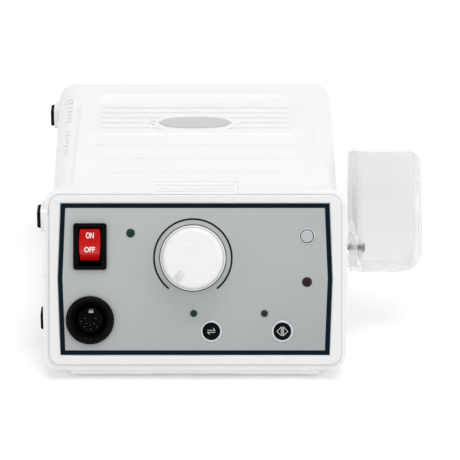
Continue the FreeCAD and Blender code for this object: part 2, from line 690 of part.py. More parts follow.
def extrude(body, kind, name, plane, low, high, shapes):
    """A pad or pocket between two levels of a plane."""
    low = as_size(low)
    high = as_size(high)
    adds = kind == "PartDesign::Pad"
    starts_low = adds == (NORMALS[plane] > 0)
    drawing = new_sketch(body, f"{name}_sketch", plane, low if starts_low else high)
    for shape in shapes:
        shape.draw(drawing)
    feature = body.newObject(kind, name)
    feature.Profile = drawing
    bind(feature, "Length", high - low)
    body.Tip = feature
    return feature


def pad(body, name, plane, low, high, *shapes):
    return extrude(body, "PartDesign::Pad", name, plane, low, high, shapes)


def pocket(body, name, plane, low, high, *shapes):
    return extrude(body, "PartDesign::Pocket", name, plane, low, high, shapes)


def loft(body, name, plane, levels, outlines, adds=True):
    """A ruled loft through one outline at each level."""
    drawings = []
    for number, (level, shape) in enumerate(zip(levels, outlines)):
        drawing = new_sketch(body, f"{name}_section_{number}", plane, level)
        shape.draw(drawing)
        drawings.append(drawing)
    kind = "PartDesign::AdditiveLoft" if adds else "PartDesign::SubtractiveLoft"
    feature = body.newObject(kind, name)
    feature.Profile = drawings[0]
    feature.Sections = drawings[1:]
    feature.Ruled = True
    body.Tip = feature
    return feature


def revolve(body, name, *corners, adds=True):
    """A turned form from its half profile: radius and height along the body's Z axis."""
    drawing = new_sketch(body, f"{name}_sketch", "XZ", 0)
    Outline(*corners).draw(drawing)
    kind = "PartDesign::Revolution" if adds else "PartDesign::Groove"
    feature = body.newObject(kind, name)
    feature.Profile = drawing
    feature.ReferenceAxis = (drawing, ["V_Axis"])
    feature.Angle = 360
    body.Tip = feature
    return feature


def repeat(body, name, feature, drawing_axis, pitch, count):
    """Copies of a feature in a row."""
    pattern = body.newObject("PartDesign::LinearPattern", name)
    pattern.Originals = [feature]
    pattern.Direction = (feature.Profile[0], [drawing_axis])
    pattern.Mode = "Spacing"
    bind(pattern, "Offset", pitch)
    pattern.Occurrences = count
    body.Tip = pattern
    return pattern


def dress(body, kind, name, path, amount, choose):
    """A fillet or chamfer on the chosen edges of what the body holds so far."""
    doc.recompute()
    base = body.Tip
    edges = [f"Edge{number}" for number, edge in enumerate(base.Shape.Edges, start=1) if choose(edge)]
    feature = body.newObject(kind, name)
    feature.Base = (base, edges)
    bind(feature, path, amount)
    body.Tip = feature
    return feature


def fillet(body, name, radius, choose):
    return dress(body, "PartDesign::Fillet", name, "Radius", radius, choose)


def chamfer(body, name, size, choose):
    return dress(body, "PartDesign::Chamfer", name, "Size", size, choose)


def flat_at(axis, level, within=None):
    """Chooses edges that lie at one level of an axis, within limits of the axes if given."""
    level = as_size(level).value

    def choose(edge):
        box = edge.BoundBox
        low = getattr(box, axis + "Min")
        high = getattr(box, axis + "Max")
        if abs(low - level) > 0.01 or abs(high - level) > 0.01:
            return False
        return within is None or within(edge.CenterOfMass)

    return choose


def place(body, x, y, z, turn=0, axis=LEAN_AXIS):
    """Puts a body at a place in the housing's coordinates, turned about an axis."""
    turn = as_size(turn)
    body.Placement = Placement(Vector(), Rotation(axis, turn.value if turn.value else 1.0))
    bind(body, "Placement.Base.x", x - s.centre_x)
    bind(body, "Placement.Base.y", y - s.centre_y)
    bind(body, "Placement.Base.z", z)
    bind(body, "Placement.Rotation.Angle", turn)


def place_on_panel(body, x=0, up=0, level=0, lean=0):
    """Puts a body on the panel: its Z is the panel's normal and its zero the panel surface."""
    up = as_size(up)
    level = as_size(level)
    along = s.face_y + up * sine(s.face_tilt) - level * cosine(s.face_tilt)
    height = s.face_z + up * cosine(s.face_tilt) + level * sine(s.face_tilt)
    place(body, x, along, height, 90 - s.face_tilt - lean)


# Housing shells

def upper_outline(half, top, radius, low=s.parting_z):
    """Cross-section of the upper shell without its plateau."""
    edge = half - s.side_lean
    return Outline((-half, low), (half, low), (edge, top, radius), (-edge, top, radius))


def lower_outline(half, radius):
    """Cross-section of the lower shell."""
    edge = half - s.side_lean
    return Outline((-edge, s.underside_z, radius), (edge, s.underside_z, radius),
                   (half, s.parting_z), (-half, s.parting_z))


def collar_steps():
    """Row Y and share of the collar for each section, from the collar back to the waist."""
    steps = [(-s.front_reach, 1.0)]
    for part in range(5):
        along = part / 4
        share = 1 - along * along * (3 - 2 * along)
        steps.append((s.collar_rear_y + (s.waist_y - s.collar_rear_y) * along, share))
    return steps


def between(share, full, rest):
    return rest + (full - rest) * share


def upper_sections():
    levels = []
    outlines = []
    for level, share in collar_steps():
        half = between(share, s.collar_half, s.waist_half)
        top = between(share, s.collar_top, s.shoulder_z)
        levels.append(level)
        outlines.append(upper_outline(half, top, between(share, s.collar_round, s.shoulder_round)))
    flare = (s.rear_half - s.waist_half) / (s.rear_y - s.waist_y)
    for level, top in ((s.rise_front_y, s.shoulder_z), (s.rise_rear_y, s.plateau_z), (s.rear_y, s.plateau_z)):
        levels.append(level)
        outlines.append(upper_outline(s.waist_half + flare * (level - s.waist_y), top, s.shoulder_round))
    return levels, outlines


def lower_sections():
    levels = []
    outlines = []
    for level, share in collar_steps():
        levels.append(level)
        outlines.append(lower_outline(between(share, s.collar_half, s.waist_half), s.low_round))
    levels.append(s.rear_y)
    outlines.append(lower_outline(s.rear_half, s.low_round))
    return levels, outlines


def cavity_levels():
    """Front and rear of the space inside, with the half width there."""
    flare = (s.rear_half - s.waist_half) / (s.rear_y - s.waist_y)
    rear = s.rear_y - s.wall
    front_half = s.waist_half - s.wall - flare * (s.front_reach + s.waist_y)
    rear_half = s.rear_half - s.wall - flare * s.wall
    return [-s.front_reach, rear], [front_half, rear_half]


def is_rear_edge(edge):
    box = edge.BoundBox
    level = s.rear_y.value
    at_rear = abs(box.YMin - level) < 0.01 and abs(box.YMax - level) < 0.01
    return at_rear and abs(edge.CenterOfMass.z - s.parting_z.value) > 0.01


def cut_face(body):
    """Cuts the collar to the lean of the panel, with the rebate that the front frame sits in."""
    reach = 2 * s.front_reach
    pocket(body, "face_cut", "panel", -s.rim_setback, s.front_reach, rectangle(-reach, reach, -reach, reach))


def cut_rebate(body):
    half = s.frame_half + s.frame_gap
    low = -s.frame_down - s.frame_gap
    high = s.frame_up + s.frame_gap
    corner = s.frame_corner + s.frame_gap
    pocket(body, "rebate", "panel", -s.frame_seat, 2, rectangle(-half, half, low, high, corner))


def add_foot_seats(body, level):
    """Flat seats for the rubber feet on the left side."""
    long = s.foot_long + 2 * s.foot_border
    tall = s.foot_tall + 2 * s.foot_border
    pad(body, "foot_seats", "YZ", s.foot_seat_x, s.foot_seat_x + 3.6,
        centred(s.foot_y_front, level, long, tall, 1.2), centred(s.foot_y_rear, level, long, tall, 1.2))


def boss_places():
    places = []
    for along in (s.boss_front_y, s.boss_rear_y):
        places += [(-s.boss_x, along), (s.boss_x, along)]
    return places


def discs(places, radius):
    return [Disc(x, y, radius) for x, y in places]


def cut_deck_opening(body):
    """The opening in the rear wall that shows the rear panel."""
    pocket(body, "deck_opening", "XZ", s.rear_y - s.wall - 1, s.rear_y + 1,
           rectangle(-s.deck_half, s.deck_half, s.deck_low_z, s.deck_high_z, s.deck_corner))


def upper_housing():
    body = new_body("upper_housing")
    levels, outlines = upper_sections()
    loft(body, "shell", "XZ", levels, outlines)
    cut_face(body)
    fillet(body, "rear_edges", s.rear_round, is_rear_edge)
    levels, halves = cavity_levels()
    top = s.shoulder_z - s.wall
    radius = s.shoulder_round - s.wall
    sections = [upper_outline(half, top, radius, s.parting_z - 1) for half in halves]
    loft(body, "cavity", "XZ", levels, sections, adds=False)
    add_plateau(body)
    cut_rebate(body)
    cut_deck_opening(body)
    add_foot_seats(body, s.foot_z_top)
    cut_tray(body)
    cut_dish(body)
    cut_grip(body)
    cut_louvres(body)
    pad(body, "bosses", "XY", s.parting_z, top + 0.5, *discs(boss_places(), s.boss_radius))
    thread_top = s.screw_seat_z + s.screw_long + 1
    pocket(body, "boss_holes", "XY", s.parting_z, thread_top, *discs(boss_places(), s.screw_radius))


def add_plateau(body):
    """The raised middle of the top, with a slope along each side; the shoulders rise to its rear end."""
    low = s.shoulder_z - s.wall / 2
    foot = s.plateau_half + s.plateau_ramp * (1 + s.wall / 2)
    pad(body, "plateau", "XZ", s.collar_rear_y, s.rise_rear_y + 1,
        Outline((-foot, low), (foot, low), (s.plateau_half, s.plateau_z), (-s.plateau_half, s.plateau_z)))


def cut_basin(body, name, floor, brim, half, front, rear, corner, end_slope, side_slope):
    """A rounded basin whose ends slope more gently than its front and rear."""
    above = 0.5
    spread = 1 + above / (brim - floor)
    middle = (front + rear) / 2
    reach = (rear - front) / 2
    outlines = []
    for share in (0, spread):
        wide = half - end_slope * (1 - share)
        tall = reach - side_slope * (1 - share)
        outlines.append(centred(0, middle, 2 * wide, 2 * tall, corner - side_slope * (1 - share)))
    loft(body, name, "XY", [floor, brim + above], outlines, adds=False)


def cut_tray(body):
    floor = s.plateau_z - s.tray_depth
    brim = s.plateau_z - s.tray_lip
    pocket(body, "tray_edge", "XY", brim, s.plateau_z + 2,
           rectangle(-s.tray_half, s.tray_half, s.tray_front_y, s.tray_rear_y, s.tray_corner))
    cut_basin(body, "tray", floor, brim, s.tray_half, s.tray_front_y, s.tray_rear_y, s.tray_corner,
              s.tray_end_slope, s.tray_side_slope)
    ridge = pad(body, "ridge", "XY", floor - 0.2, floor + s.ridge_rise,
                centred(0, s.ridge_first_y, 2 * s.ridge_half, s.ridge_width))
    repeat(body, "ridges", ridge, "V_Axis", s.ridge_pitch, 3)


def cut_dish(body):
    """The ribbed dish, with an island that carries the badge."""
    floor = s.plateau_z - s.dish_depth
    face = floor + s.rib_rise
    cut_basin(body, "dish", floor, s.plateau_z, s.dish_half, s.dish_front_y, s.dish_rear_y, s.dish_corner,
              s.dish_end_slope, s.dish_side_slope)
    rib = pad(body, "rib", "XY", floor - 0.3, face,
              centred(0, s.rib_first_y, 2 * s.rib_half, s.rib_width))
    repeat(body, "ribs", rib, "V_Axis", s.rib_pitch, 5)
    pad(body, "island", "XY", floor - 0.3, face, badge_outline(s.island_border))
    pocket(body, "badge_recess", "XY", face - s.badge_sink, face + 2, badge_outline(0.15))


def badge_outline(gap):
    return Lens(0, s.badge_y, s.badge_long / 2 + gap, s.badge_wide / 2 + gap)


def cut_grip(body):
    """A shallow recess for the fingers, with grooves, that follows the collar down to the plateau."""
    slope_front = s.collar_rear_y + (s.waist_y - s.collar_rear_y) / 8
    slope_rear = (s.collar_rear_y + s.waist_y) / 2
    high = s.collar_top - s.grip_sink
    low = s.plateau_z - s.grip_sink
    front = -s.front_reach
    above = s.collar_top + 2
    pocket(body, "grip", "YZ", -s.grip_half, s.grip_half,
           Outline((front, high), (slope_front, high), (slope_rear, low), (s.grip_rear_y, low),
                   (s.grip_rear_y, above), (front, above)))
    grooves = []
    for number in range(3):
        along = s.groove_first_y + s.groove_pitch * number
        share = min(max((along - slope_front).value / (slope_rear - slope_front).value, 0), 1)
        bottom = between(share, low, high) - s.groove_sink
        grooves.append(rectangle(along - s.groove_width / 2, along + s.groove_width / 2, bottom, above))
    pocket(body, "grooves", "YZ", -s.groove_half, s.groove_half, *grooves)


def cut_louvres(body):
    """Two groups of short louvres that run out where the left shoulder rounds off."""
    long = s.louvre_outer - s.louvre_inner
    middle = (s.louvre_outer + s.louvre_inner) / 2
    floor = s.shoulder_z - s.louvre_depth
    for name, first in (("front", s.louvre_front_y), ("rear", s.louvre_rear_y)):
        slot = pocket(body, f"{name}_louvre", "XY", floor, s.plateau_z,
                      centred(-middle, first, long, s.louvre_width))
        repeat(body, f"{name}_louvres", slot, "V_Axis", s.louvre_pitch, 7)


def lower_housing():
    body = new_body("lower_housing")
    levels, outlines = lower_sections()
    loft(body, "shell", "XZ", levels, outlines)
    cut_face(body)
    fillet(body, "rear_edges", s.rear_round, is_rear_edge)
    levels, halves = cavity_levels()
    floor = s.underside_z + s.wall
    radius = s.low_round - s.wall
    sections = [Outline((s.side_lean - half, floor, radius), (half - s.side_lean, floor, radius),
                        (half, s.parting_z + 1), (-half, s.parting_z + 1)) for half in halves]
    loft(body, "cavity", "XZ", levels, sections, adds=False)
    add_base(body)
    cut_rebate(body)
    cut_deck_opening(body)
    add_foot_seats(body, s.foot_z_low)
    add_low_bosses(body)
    add_stands(body)
    add_cup_seat(body)
    cut_base_vents(body)


def base_floor():
    return s.base_z + s.wall


def add_base(body):
    """The base plateau, hollow from above, with a finger notch and seats for its feet."""
    foot = s.base_half + s.base_ramp
    base = pad(body, "base", "XZ", s.base_front_y, s.base_rear_y,
               Outline((-s.base_half, s.base_z), (s.base_half, s.base_z),
                       (foot, s.underside_z + 0.5), (-foot, s.underside_z + 0.5)))
    chamfer(body, "base_edge", s.base_edge, flat_at("Z", s.base_z))
    inner = s.base_half - s.wall
    pocket(body, "base_hollow", "XY", base_floor(), s.underside_z + s.wall + 1,
           rectangle(-inner, inner, s.base_front_y + 3 * s.wall, s.base_rear_y - s.wall, 2))
    pocket(body, "finger_notch", "XY", s.base_z - 1, s.base_z + s.base_notch_depth,
           rectangle(-s.base_notch_half, s.base_notch_half, s.base_front_y - 2,
                     s.base_front_y + s.base_notch_run))
    pocket(body, "foot_recesses", "XY", s.base_z - 1, s.base_z + s.base_foot_sink,
           *discs(base_foot_places(), s.base_foot_radius))
    return base


def base_foot_places():
    places = []
    for along in (s.base_foot_front_y, s.base_foot_rear_y):
        places += [(-s.base_foot_x, along), (s.base_foot_x, along)]
    return places


def add_low_bosses(body):
    """Posts that take the housing screws from below."""
    pad(body, "bosses", "XY", s.base_z + 1, s.parting_z, *discs(boss_places(), s.boss_radius))
    pocket(body, "head_wells", "XY", s.base_z - 1, s.screw_seat_z,
           *discs(boss_places(), s.screw_head + s.screw_gap))
    pocket(body, "screw_holes", "XY", s.screw_seat_z - 1, s.parting_z + 1,
           *discs(boss_places(), s.screw_radius + s.screw_gap))


def stand_places():
    places = []
    for along in (s.main_front_y + s.stand_inset, s.main_rear_y - s.stand_inset):
        places += [(s.main_left + s.stand_inset, along), (s.main_right - s.stand_inset, along)]
    return places


def ear_places():
    reach = s.core_wide / 2 + s.strap_thick + s.strap_ear / 2
    return [(s.core_x - reach, s.core_y), (s.core_x + reach, s.core_y)]


def add_stands(body):
    """Stands for the main board and the transformer."""
    pad(body, "board_stands", "XY", base_floor() - 1, s.main_z, *discs(stand_places(), s.stand_radius))
    pad(body, "core_stands", "XY", base_floor() - 1, s.core_foot_z,
        *[centred(x, y, s.strap_ear + 2, s.strap_wide) for x, y in ear_places()])
    pocket(body, "stand_holes", "XY", s.main_z - s.board_screw_long, s.main_z + 1,
           *discs(stand_places(), s.board_screw))
    pocket(body, "core_holes", "XY", s.core_foot_z - s.board_screw_long + s.strap_thick, s.core_foot_z + 1,
           *discs(ear_places(), s.board_screw))


def add_cup_seat(body):
    """A boss in the right wall, with a flat seat outside for the cup's spacer."""
    inner = s.spacer_seat_x - s.nutsert_long - 1
    pad(body, "cup_boss", "YZ", inner, s.spacer_seat_x, Disc(s.cup_y, s.cup_z, s.spacer_seat))
    pocket(body, "nutsert_hole", "YZ", s.spacer_seat_x - s.nutsert_long, s.spacer_seat_x + 1,
           Disc(s.cup_y, s.cup_z, s.nutsert_radius))


def cut_base_vents(body):
    vent = pocket(body, "floor_vent", "XY", s.base_z - 1, base_floor() + 1,
                  centred(0, s.floor_vent_y, s.floor_vent_long, s.floor_vent_wide, 1.0))
    repeat(body, "floor_vents", vent, "V_Axis", s.floor_vent_pitch, 6)


def base_feet():
    body = new_body("base_feet")
    pad(body, "feet", "XY", 0, s.base_z + s.base_foot_sink, *discs(base_foot_places(), s.base_foot_radius))
    fillet(body, "edges", s.base_foot_sink, flat_at("Z", 0))


def side_feet():
    body = new_body("side_feet")
    places = [(y, z) for y in (s.foot_y_front, s.foot_y_rear) for z in (s.foot_z_low, s.foot_z_top)]
    outer = s.foot_seat_x - s.foot_thick
    pad(body, "feet", "YZ", outer, s.foot_seat_x,
        *[centred(y, z, s.foot_long, s.foot_tall, s.foot_round) for y, z in places])
    fillet(body, "edges", s.foot_round, flat_at("X", outer))


def housing_screws():
    body = new_body("housing_screws")
    pad(body, "heads", "XY", s.screw_seat_z - s.screw_head_thick, s.screw_seat_z,
        *discs(boss_places(), s.screw_head))
    pad(body, "shanks", "XY", s.screw_seat_z, s.screw_seat_z + s.screw_long,
        *discs(boss_places(), s.screw_radius))


def badge_plate():
    body = new_body("badge_plate")
    face = s.plateau_z - s.dish_depth + s.rib_rise
    seat = face - s.badge_sink
    pad(body, "plate", "XY", seat, seat + s.badge_thick, badge_outline(0))


# Front frame and control panel, in panel coordinates

def label_outline(gap):
    """The label's six-sided outline, widest at its kink."""
    ends = s.label_half_ends + gap
    kink = s.label_half_kink + gap
    top = s.label_up + gap
    low = -s.label_down - gap
    return Outline((-ends, low), (ends, low), (kink, -s.label_kink), (ends, top), (-ends, top),
                   (-kink, -s.label_kink))


def key_places():
    return [(s.mode_x, -s.key_down), (s.turn_x, -s.key_down)]


def small_lamp_places():
    return [(s.mode_lamp_x, -s.lamp_down), (s.turn_lamp_x, -s.lamp_down)]


def lamp_discs(gap):
    return [Disc(s.power_lamp_x, s.power_lamp_up, s.power_lamp_radius + gap),
            Disc(s.load_lamp_x, -s.load_lamp_down, s.load_lamp_radius + gap),
            *discs(small_lamp_places(), s.small_lamp_radius + gap)]


def switch_cutout():
    return centred(s.switch_x, s.switch_up, s.switch_body_wide + 2 * s.switch_gap,
                   s.switch_body_tall + 2 * s.switch_gap)


def socket_hole():
    return Disc(s.socket_x, -s.socket_down, s.socket_barrel + s.switch_gap)


def post_places():
    return [(s.board_left + 8, -s.board_down + s.post_radius),
            (s.board_right - 4, -s.board_down + s.post_radius),
            (s.board_left + 4, -6), (s.board_right - 24, s.board_up - 4)]


def front_frame():
    body = new_body("front_frame")
    place_on_panel(body)
    half = s.frame_half
    pad(body, "plate", "XY", -s.frame_seat, s.frame_proud,
        rectangle(-half, half, -s.frame_down, s.frame_up, s.frame_corner))
    fillet(body, "edge", s.frame_round, flat_at("Z", s.frame_proud))
    pocket(body, "label_recess", "XY", -s.label_thick, s.frame_proud + 1, label_outline(s.label_gap))
    chamfer(body, "recess_edge", s.label_bevel,
            flat_at("Z", s.frame_proud, lambda at: abs(at.x) < half.value - 3 and -46 < at.y < 27))
    side = half - s.skirt_side
    top = s.frame_up - s.skirt_top
    low = -s.frame_down + s.skirt_low
    inner = side - s.skirt_thick
    pocket(body, "back_relief", "XY", -s.frame_seat - 1, -s.frame_back,
           rectangle(-inner, inner, low + s.skirt_thick, top - s.skirt_thick, 2))
    pad(body, "skirt", "XY", -s.frame_seat - s.skirt_depth, -s.frame_seat,
        rectangle(-side, side, low, top, 4),
        rectangle(-inner, inner, low + s.skirt_thick, top - s.skirt_thick, 2))
    pad(body, "posts", "XY", -s.board_front, -s.frame_back, *discs(post_places(), s.post_radius))
    pocket(body, "post_holes", "XY", -s.board_front - 1, -s.board_front + s.board_screw_long - s.board_thick,
           *discs(post_places(), s.board_screw))
    through = -s.frame_back - 1
    pocket(body, "control_holes", "XY", through, 0, switch_cutout(), socket_hole(), *lamp_discs(0.1),
           Disc(s.knob_x, 0, s.bush_radius + 0.1), *discs(key_places(), s.key_radius + s.key_gap),
           Disc(s.reset_x, s.reset_up, s.reset_radius + s.key_gap))


def control_panel():
    """The printed label plate."""
    body = new_body("control_panel")
    place_on_panel(body)
    pad(body, "plate", "XY", -s.label_thick, 0, label_outline(0))
    ring = s.frame_gap
    pocket(body, "holes", "XY", -s.label_thick - 1, 1, switch_cutout(), socket_hole(), *lamp_discs(0.1),
           Disc(s.knob_x, 0, s.nut_clear), *discs(key_places(), s.key_ring + ring),
           Disc(s.reset_x, s.reset_up, s.reset_ring + ring))


def key_rings():
    """Rings round the three keys, seated on the frame in the label's holes."""
    body = new_body("key_rings")
    place_on_panel(body)
    pad(body, "rings", "XY", -s.label_thick, s.ring_proud, *discs(key_places(), s.key_ring),
        Disc(s.reset_x, s.reset_up, s.reset_ring))
    fillet(body, "edges", 0.3, flat_at("Z", s.ring_proud))
    pocket(body, "holes", "XY", -s.label_thick - 1, s.ring_proud + 1,
           *discs(key_places(), s.key_radius + s.key_gap),
           Disc(s.reset_x, s.reset_up, s.reset_radius + s.key_gap))


def round_key(name, x, up, radius):
    """A key with a flange behind the frame and a stem that reaches into its tact switch."""
    body = new_body(name)
    place_on_panel(body, x, up)
    behind = -s.frame_back - s.pivot_gap
    foot = -s.board_front + s.tact_floor + s.key_travel + 0.2
    flange = radius + s.key_flange
    revolve(body, "key", (0, foot), (s.key_stem, foot), (s.key_stem, behind - s.key_flange_thick),
            (flange, behind - s.key_flange_thick), (flange, behind), (radius, behind),
            (radius, s.key_proud - 0.15, 0.4), (0, s.key_proud))


def tact_switches():
    body = new_body("tact_switches")
    place_on_panel(body)
    places = key_places() + [(s.reset_x, s.reset_up)]
    pad(body, "cases", "XY", -s.board_front, -s.board_front + s.tact_height,
        *[centred(x, y, s.tact_side, s.tact_side) for x, y in places])
    pocket(body, "wells", "XY", -s.board_front + s.tact_floor, 0, *discs(places, s.tact_well))


def control_board():
    body = new_body("control_board")
    place_on_panel(body)
    pad(body, "board", "XY", -s.board_front - s.board_thick, -s.board_front,
        rectangle(s.board_left, s.board_right, -s.board_down, s.board_up))
    pocket(body, "holes", "XY", -s.board_front - s.board_thick - 1, 0,
           *discs(post_places(), s.board_screw + 0.2))


def control_board_screws():
    body = new_body("control_board_screws")
    place_on_panel(body)
    rear = -s.board_front - s.board_thick
    pad(body, "heads", "XY", rear - s.board_screw_cap, rear, *discs(post_places(), s.board_screw_head))
    pad(body, "shanks", "XY", rear, rear + s.board_screw_long - 0.5, *discs(post_places(), s.board_screw))


def lamp(name, x, up, radius):
    """An indicator lamp: a domed body with a flange behind the frame and two leads to the board."""
    body = new_body(name)
    place_on_panel(body, x, up)
    behind = -s.frame_back
    flange = radius + s.lamp_flange
    revolve(body, "dome", (0, -s.lamp_long), (flange, -s.lamp_long), (flange, behind), (radius, behind),
            (radius, s.lamp_proud - 0.1, radius / 2), (0, s.lamp_proud))
    lead = s.lead_side
    pad(body, "leads", "XY", -s.board_front, -s.lamp_long, centred(-lead * 1.6, 0, lead, lead),
        centred(lead * 1.6, 0, lead, lead))


def power_switch_frame():
    body = new_body("power_switch_frame")
    place_on_panel(body, s.switch_x, s.switch_up)
    pad(body, "bezel", "XY", 0, s.switch_rim, centred(0, 0, s.switch_wide, s.switch_tall, s.switch_corner))
    fillet(body, "bezel_edge", s.switch_edge, flat_at("Z", s.switch_rim))
    pad(body, "case", "XY", -s.switch_body_deep, 0, centred(0, 0, s.switch_body_wide, s.switch_body_tall))
    pocket(body, "window", "XY", -s.window_deep, s.switch_rim + 1,
           centred(0, 0, s.window_wide, 2 * s.window_half))
    reach = s.window_wide / 2 + s.rocker_pin_long + s.pivot_gap
    pocket(body, "pin_holes", "YZ", -reach, reach, Disc(0, -s.rocker_axis_deep, s.rocker_pin + s.pivot_gap))


def power_switch_rocker():
    """The rocker, drawn about its axis in its middle position and placed with its upper end in."""
    body = new_body("power_switch_rocker")
    place_on_panel(body, s.switch_x, s.switch_up, -s.rocker_axis_deep, s.rocker_throw)
    half = s.rocker_wide / 2
    face = s.rocker_face
    waist = s.rocker_waist_half
    belly = s.rocker_belly_half
    pad(body, "paddle", "YZ", -half, half,
        Outline((-s.rocker_face_half, face, 0.5), (-waist, s.rocker_waist, 1.0),
                (-belly, -s.rocker_belly, 1.5),
                (belly, -s.rocker_belly, 1.5), (waist, s.rocker_waist, 1.0), (s.rocker_face_half, face, 0.5),
                (0, face - s.rocker_dip, 20)))
    reach = s.window_wide / 2 + s.rocker_pin_long
    pad(body, "pins", "YZ", -reach, reach, Disc(0, 0, s.rocker_pin))


def power_switch_blades():
    """Terminal blades behind the switch."""
    body = new_body("power_switch_blades")
    place_on_panel(body, s.switch_x, s.switch_up)
    rear = -s.switch_body_deep
    pad(body, "blades", "XY", rear - s.blade_long, rear,
        centred(0, s.switch_body_tall / 3, s.blade_wide, s.blade_thick),
        centred(0, -s.switch_body_tall / 3, s.blade_wide, s.blade_thick),
        centred(0, 0, s.blade_wide, s.blade_thick))


def speed_knob():
    """A hollow knob with a skirt, a hub on the shaft and a sloping flat for its pointer."""
    body = new_body("speed_knob")
    place_on_panel(body, s.knob_x)
    top = s.knob_height
    foot = s.knob_lift
    skirt = foot + s.knob_skirt
    inner = s.knob_top_radius - s.knob_wall
    roof = top - 1.6 * s.knob_wall
    hub_foot = s.bush_top + 1
    revolve(body, "cap", (s.shaft_radius, hub_foot), (s.knob_hub, hub_foot), (s.knob_hub, roof),
            (inner, roof),
            (inner, foot), (s.knob_base_radius, foot), (s.knob_base_radius, skirt), (s.knob_radius, skirt),
            (s.knob_top_radius, top, s.knob_round), (0, top), (0, s.shaft_top),
            (s.shaft_radius, s.shaft_top))
    drawing = new_sketch(body, "pointer_sketch", "YZ", 0)
    drawing.AttachmentOffset = Placement(Vector(), Rotation(Vector(0, 1, 0), 1))
    bind(drawing, "AttachmentOffset.Rotation.Angle", -s.knob_rest)
    edge = -s.knob_base_radius - 0.5
    Outline((-s.pointer_start, top), (edge, top - s.pointer_drop), (edge, top + 1),
            (-s.pointer_start, top + 1)).draw(drawing)
    flat = body.newObject("PartDesign::Pocket", "pointer")
    flat.Profile = drawing
    flat.SideType = "Symmetric"
    bind(flat, "Length", s.pointer_wide)
    body.Tip = flat


def pot_shaft():
    body = new_body("potentiometer_shaft")
    place_on_panel(body, s.knob_x)
    pad(body, "rod", "XY", -s.frame_back - 2.8, s.shaft_top, Disc(0, 0, s.shaft_radius))
    pocket(body, "flat", "XY", s.bush_top + 2, s.shaft_top + 1,
           rectangle(-s.shaft_radius - 1, s.shaft_radius + 1, s.shaft_radius - s.shaft_flat,
                     s.shaft_radius + 1))


def pot_body():
    body = new_body("potentiometer_body")
    place_on_panel(body, s.knob_x)
    pad(body, "case", "XY", -s.board_front, -s.frame_back, Disc(0, 0, s.pot_radius))
    pad(body, "bush", "XY", -s.frame_back, s.bush_top, Disc(0, 0, s.bush_radius))
    pocket(body, "bore", "XY", -s.frame_back - 3, s.bush_top + 1, Disc(0, 0, s.shaft_radius + s.pivot_gap))


def nut(name, flats, low, thick, hole):
    body = new_body(name)
    pad(body, "nut", "XY", low, low + thick, hexagon(0, 0, flats), Disc(0, 0, hole))
    return body


def handpiece_socket():
    """Shell, contact insert, contacts and nut of the handpiece socket."""
    shell = new_body("socket_shell")
    place_on_panel(shell, s.socket_x, -s.socket_down)
    rear = -s.socket_deep
    floor = rear + s.socket_floor
    revolve(shell, "shell", (0, rear), (s.socket_barrel, rear), (s.socket_barrel, 0), (s.socket_flange, 0),
            (s.socket_flange, s.socket_flange_thick, s.socket_edge),
            (s.socket_bore, s.socket_flange_thick, 0.5),
            (s.socket_bore, -s.mouth_deep), (s.insert_radius, -s.mouth_deep),
            (s.insert_radius, floor), (0, floor))
    insert = new_body("socket_insert")
    place_on_panel(insert, s.socket_x, -s.socket_down)
    face = -s.mouth_deep - s.insert_sink
    groove = face - s.insert_groove_deep
    revolve(insert, "disc", (0, floor), (s.insert_radius, floor), (s.insert_radius, face),
            (s.insert_groove, face),
            (s.insert_groove, groove), (s.insert_island, groove), (s.insert_island, face), (0, face))
    well = face - s.contact_deep
    pocket(insert, "wells", "XY", well, face + 1, *discs(contact_places(), s.contact_well))
    slot = centred(s.key_slot_x, s.key_slot_up, s.key_slot_wide, s.key_slot_tall)
    pocket(insert, "key_slot", "XY", well, face + 1, slot)
    contacts = new_body("socket_contacts")
    place_on_panel(contacts, s.socket_x, -s.socket_down)
    pad(contacts, "pins", "XY", well, face - s.contact_short, *discs(contact_places(), s.contact_radius))
    pad(contacts, "key_tab", "XY", well, face - s.contact_short,
        centred(s.key_slot_x, s.key_slot_up, s.key_slot_wide - 0.2, s.key_slot_tall - 0.4))
    lock = new_body("socket_nut")
    seat = -s.frame_back
    pad(lock, "nut", "XY", seat - s.socket_nut_thick, seat, Disc(0, 0, s.socket_nut_radius),
        Disc(0, 0, s.socket_barrel))
    place_on_panel(lock, s.socket_x, -s.socket_down)


def contact_places():
    """Contacts on two open rings below the key: a wide one and a narrow one."""
    wide = [(s.contact_ring, turn) for turn in (190, 225, 270, 315, 350)]
    narrow = [(s.contact_inner, turn) for turn in (163, 222, 270, 318, 377)]
    return [(ring * math.cos(math.radians(turn)), ring * math.sin(math.radians(turn)))
            for ring, turn in wide + narrow]


# Rear panel and what it carries, drawn on planes of constant row Y

def deck_face():
    return s.rear_y - s.wall


def inlet_x():
    return s.inlet_inset - s.deck_half


def fuse_x():
    return s.deck_half - s.fuse_inset


def rear_panel():
    body = new_body("rear_panel")
    over = s.deck_overlap
    pad(body, "plate", "XZ", deck_face() - s.deck_thick, deck_face(),
        rectangle(-s.deck_half - over, s.deck_half + over, s.deck_low_z - over, s.deck_high_z + over, 2))
    pocket(body, "holes", "XZ", deck_face() - s.deck_thick - 1, deck_face() + 1,
           centred(inlet_x(), s.inlet_z, s.inlet_wide + 0.2, s.inlet_tall + 0.2),
           Disc(s.jack_x, s.jack_z, s.jack_bush + 0.1), Disc(fuse_x(), s.fuse_z, s.fuse_body + 0.1))


def inlet_slot():
    """The inlet's mouth: a slot with round ends."""
    tall = 2 * s.inlet_mouth_half
    return centred(inlet_x(), s.inlet_z, s.inlet_pitch + tall, tall, s.inlet_mouth_half * 0.97)


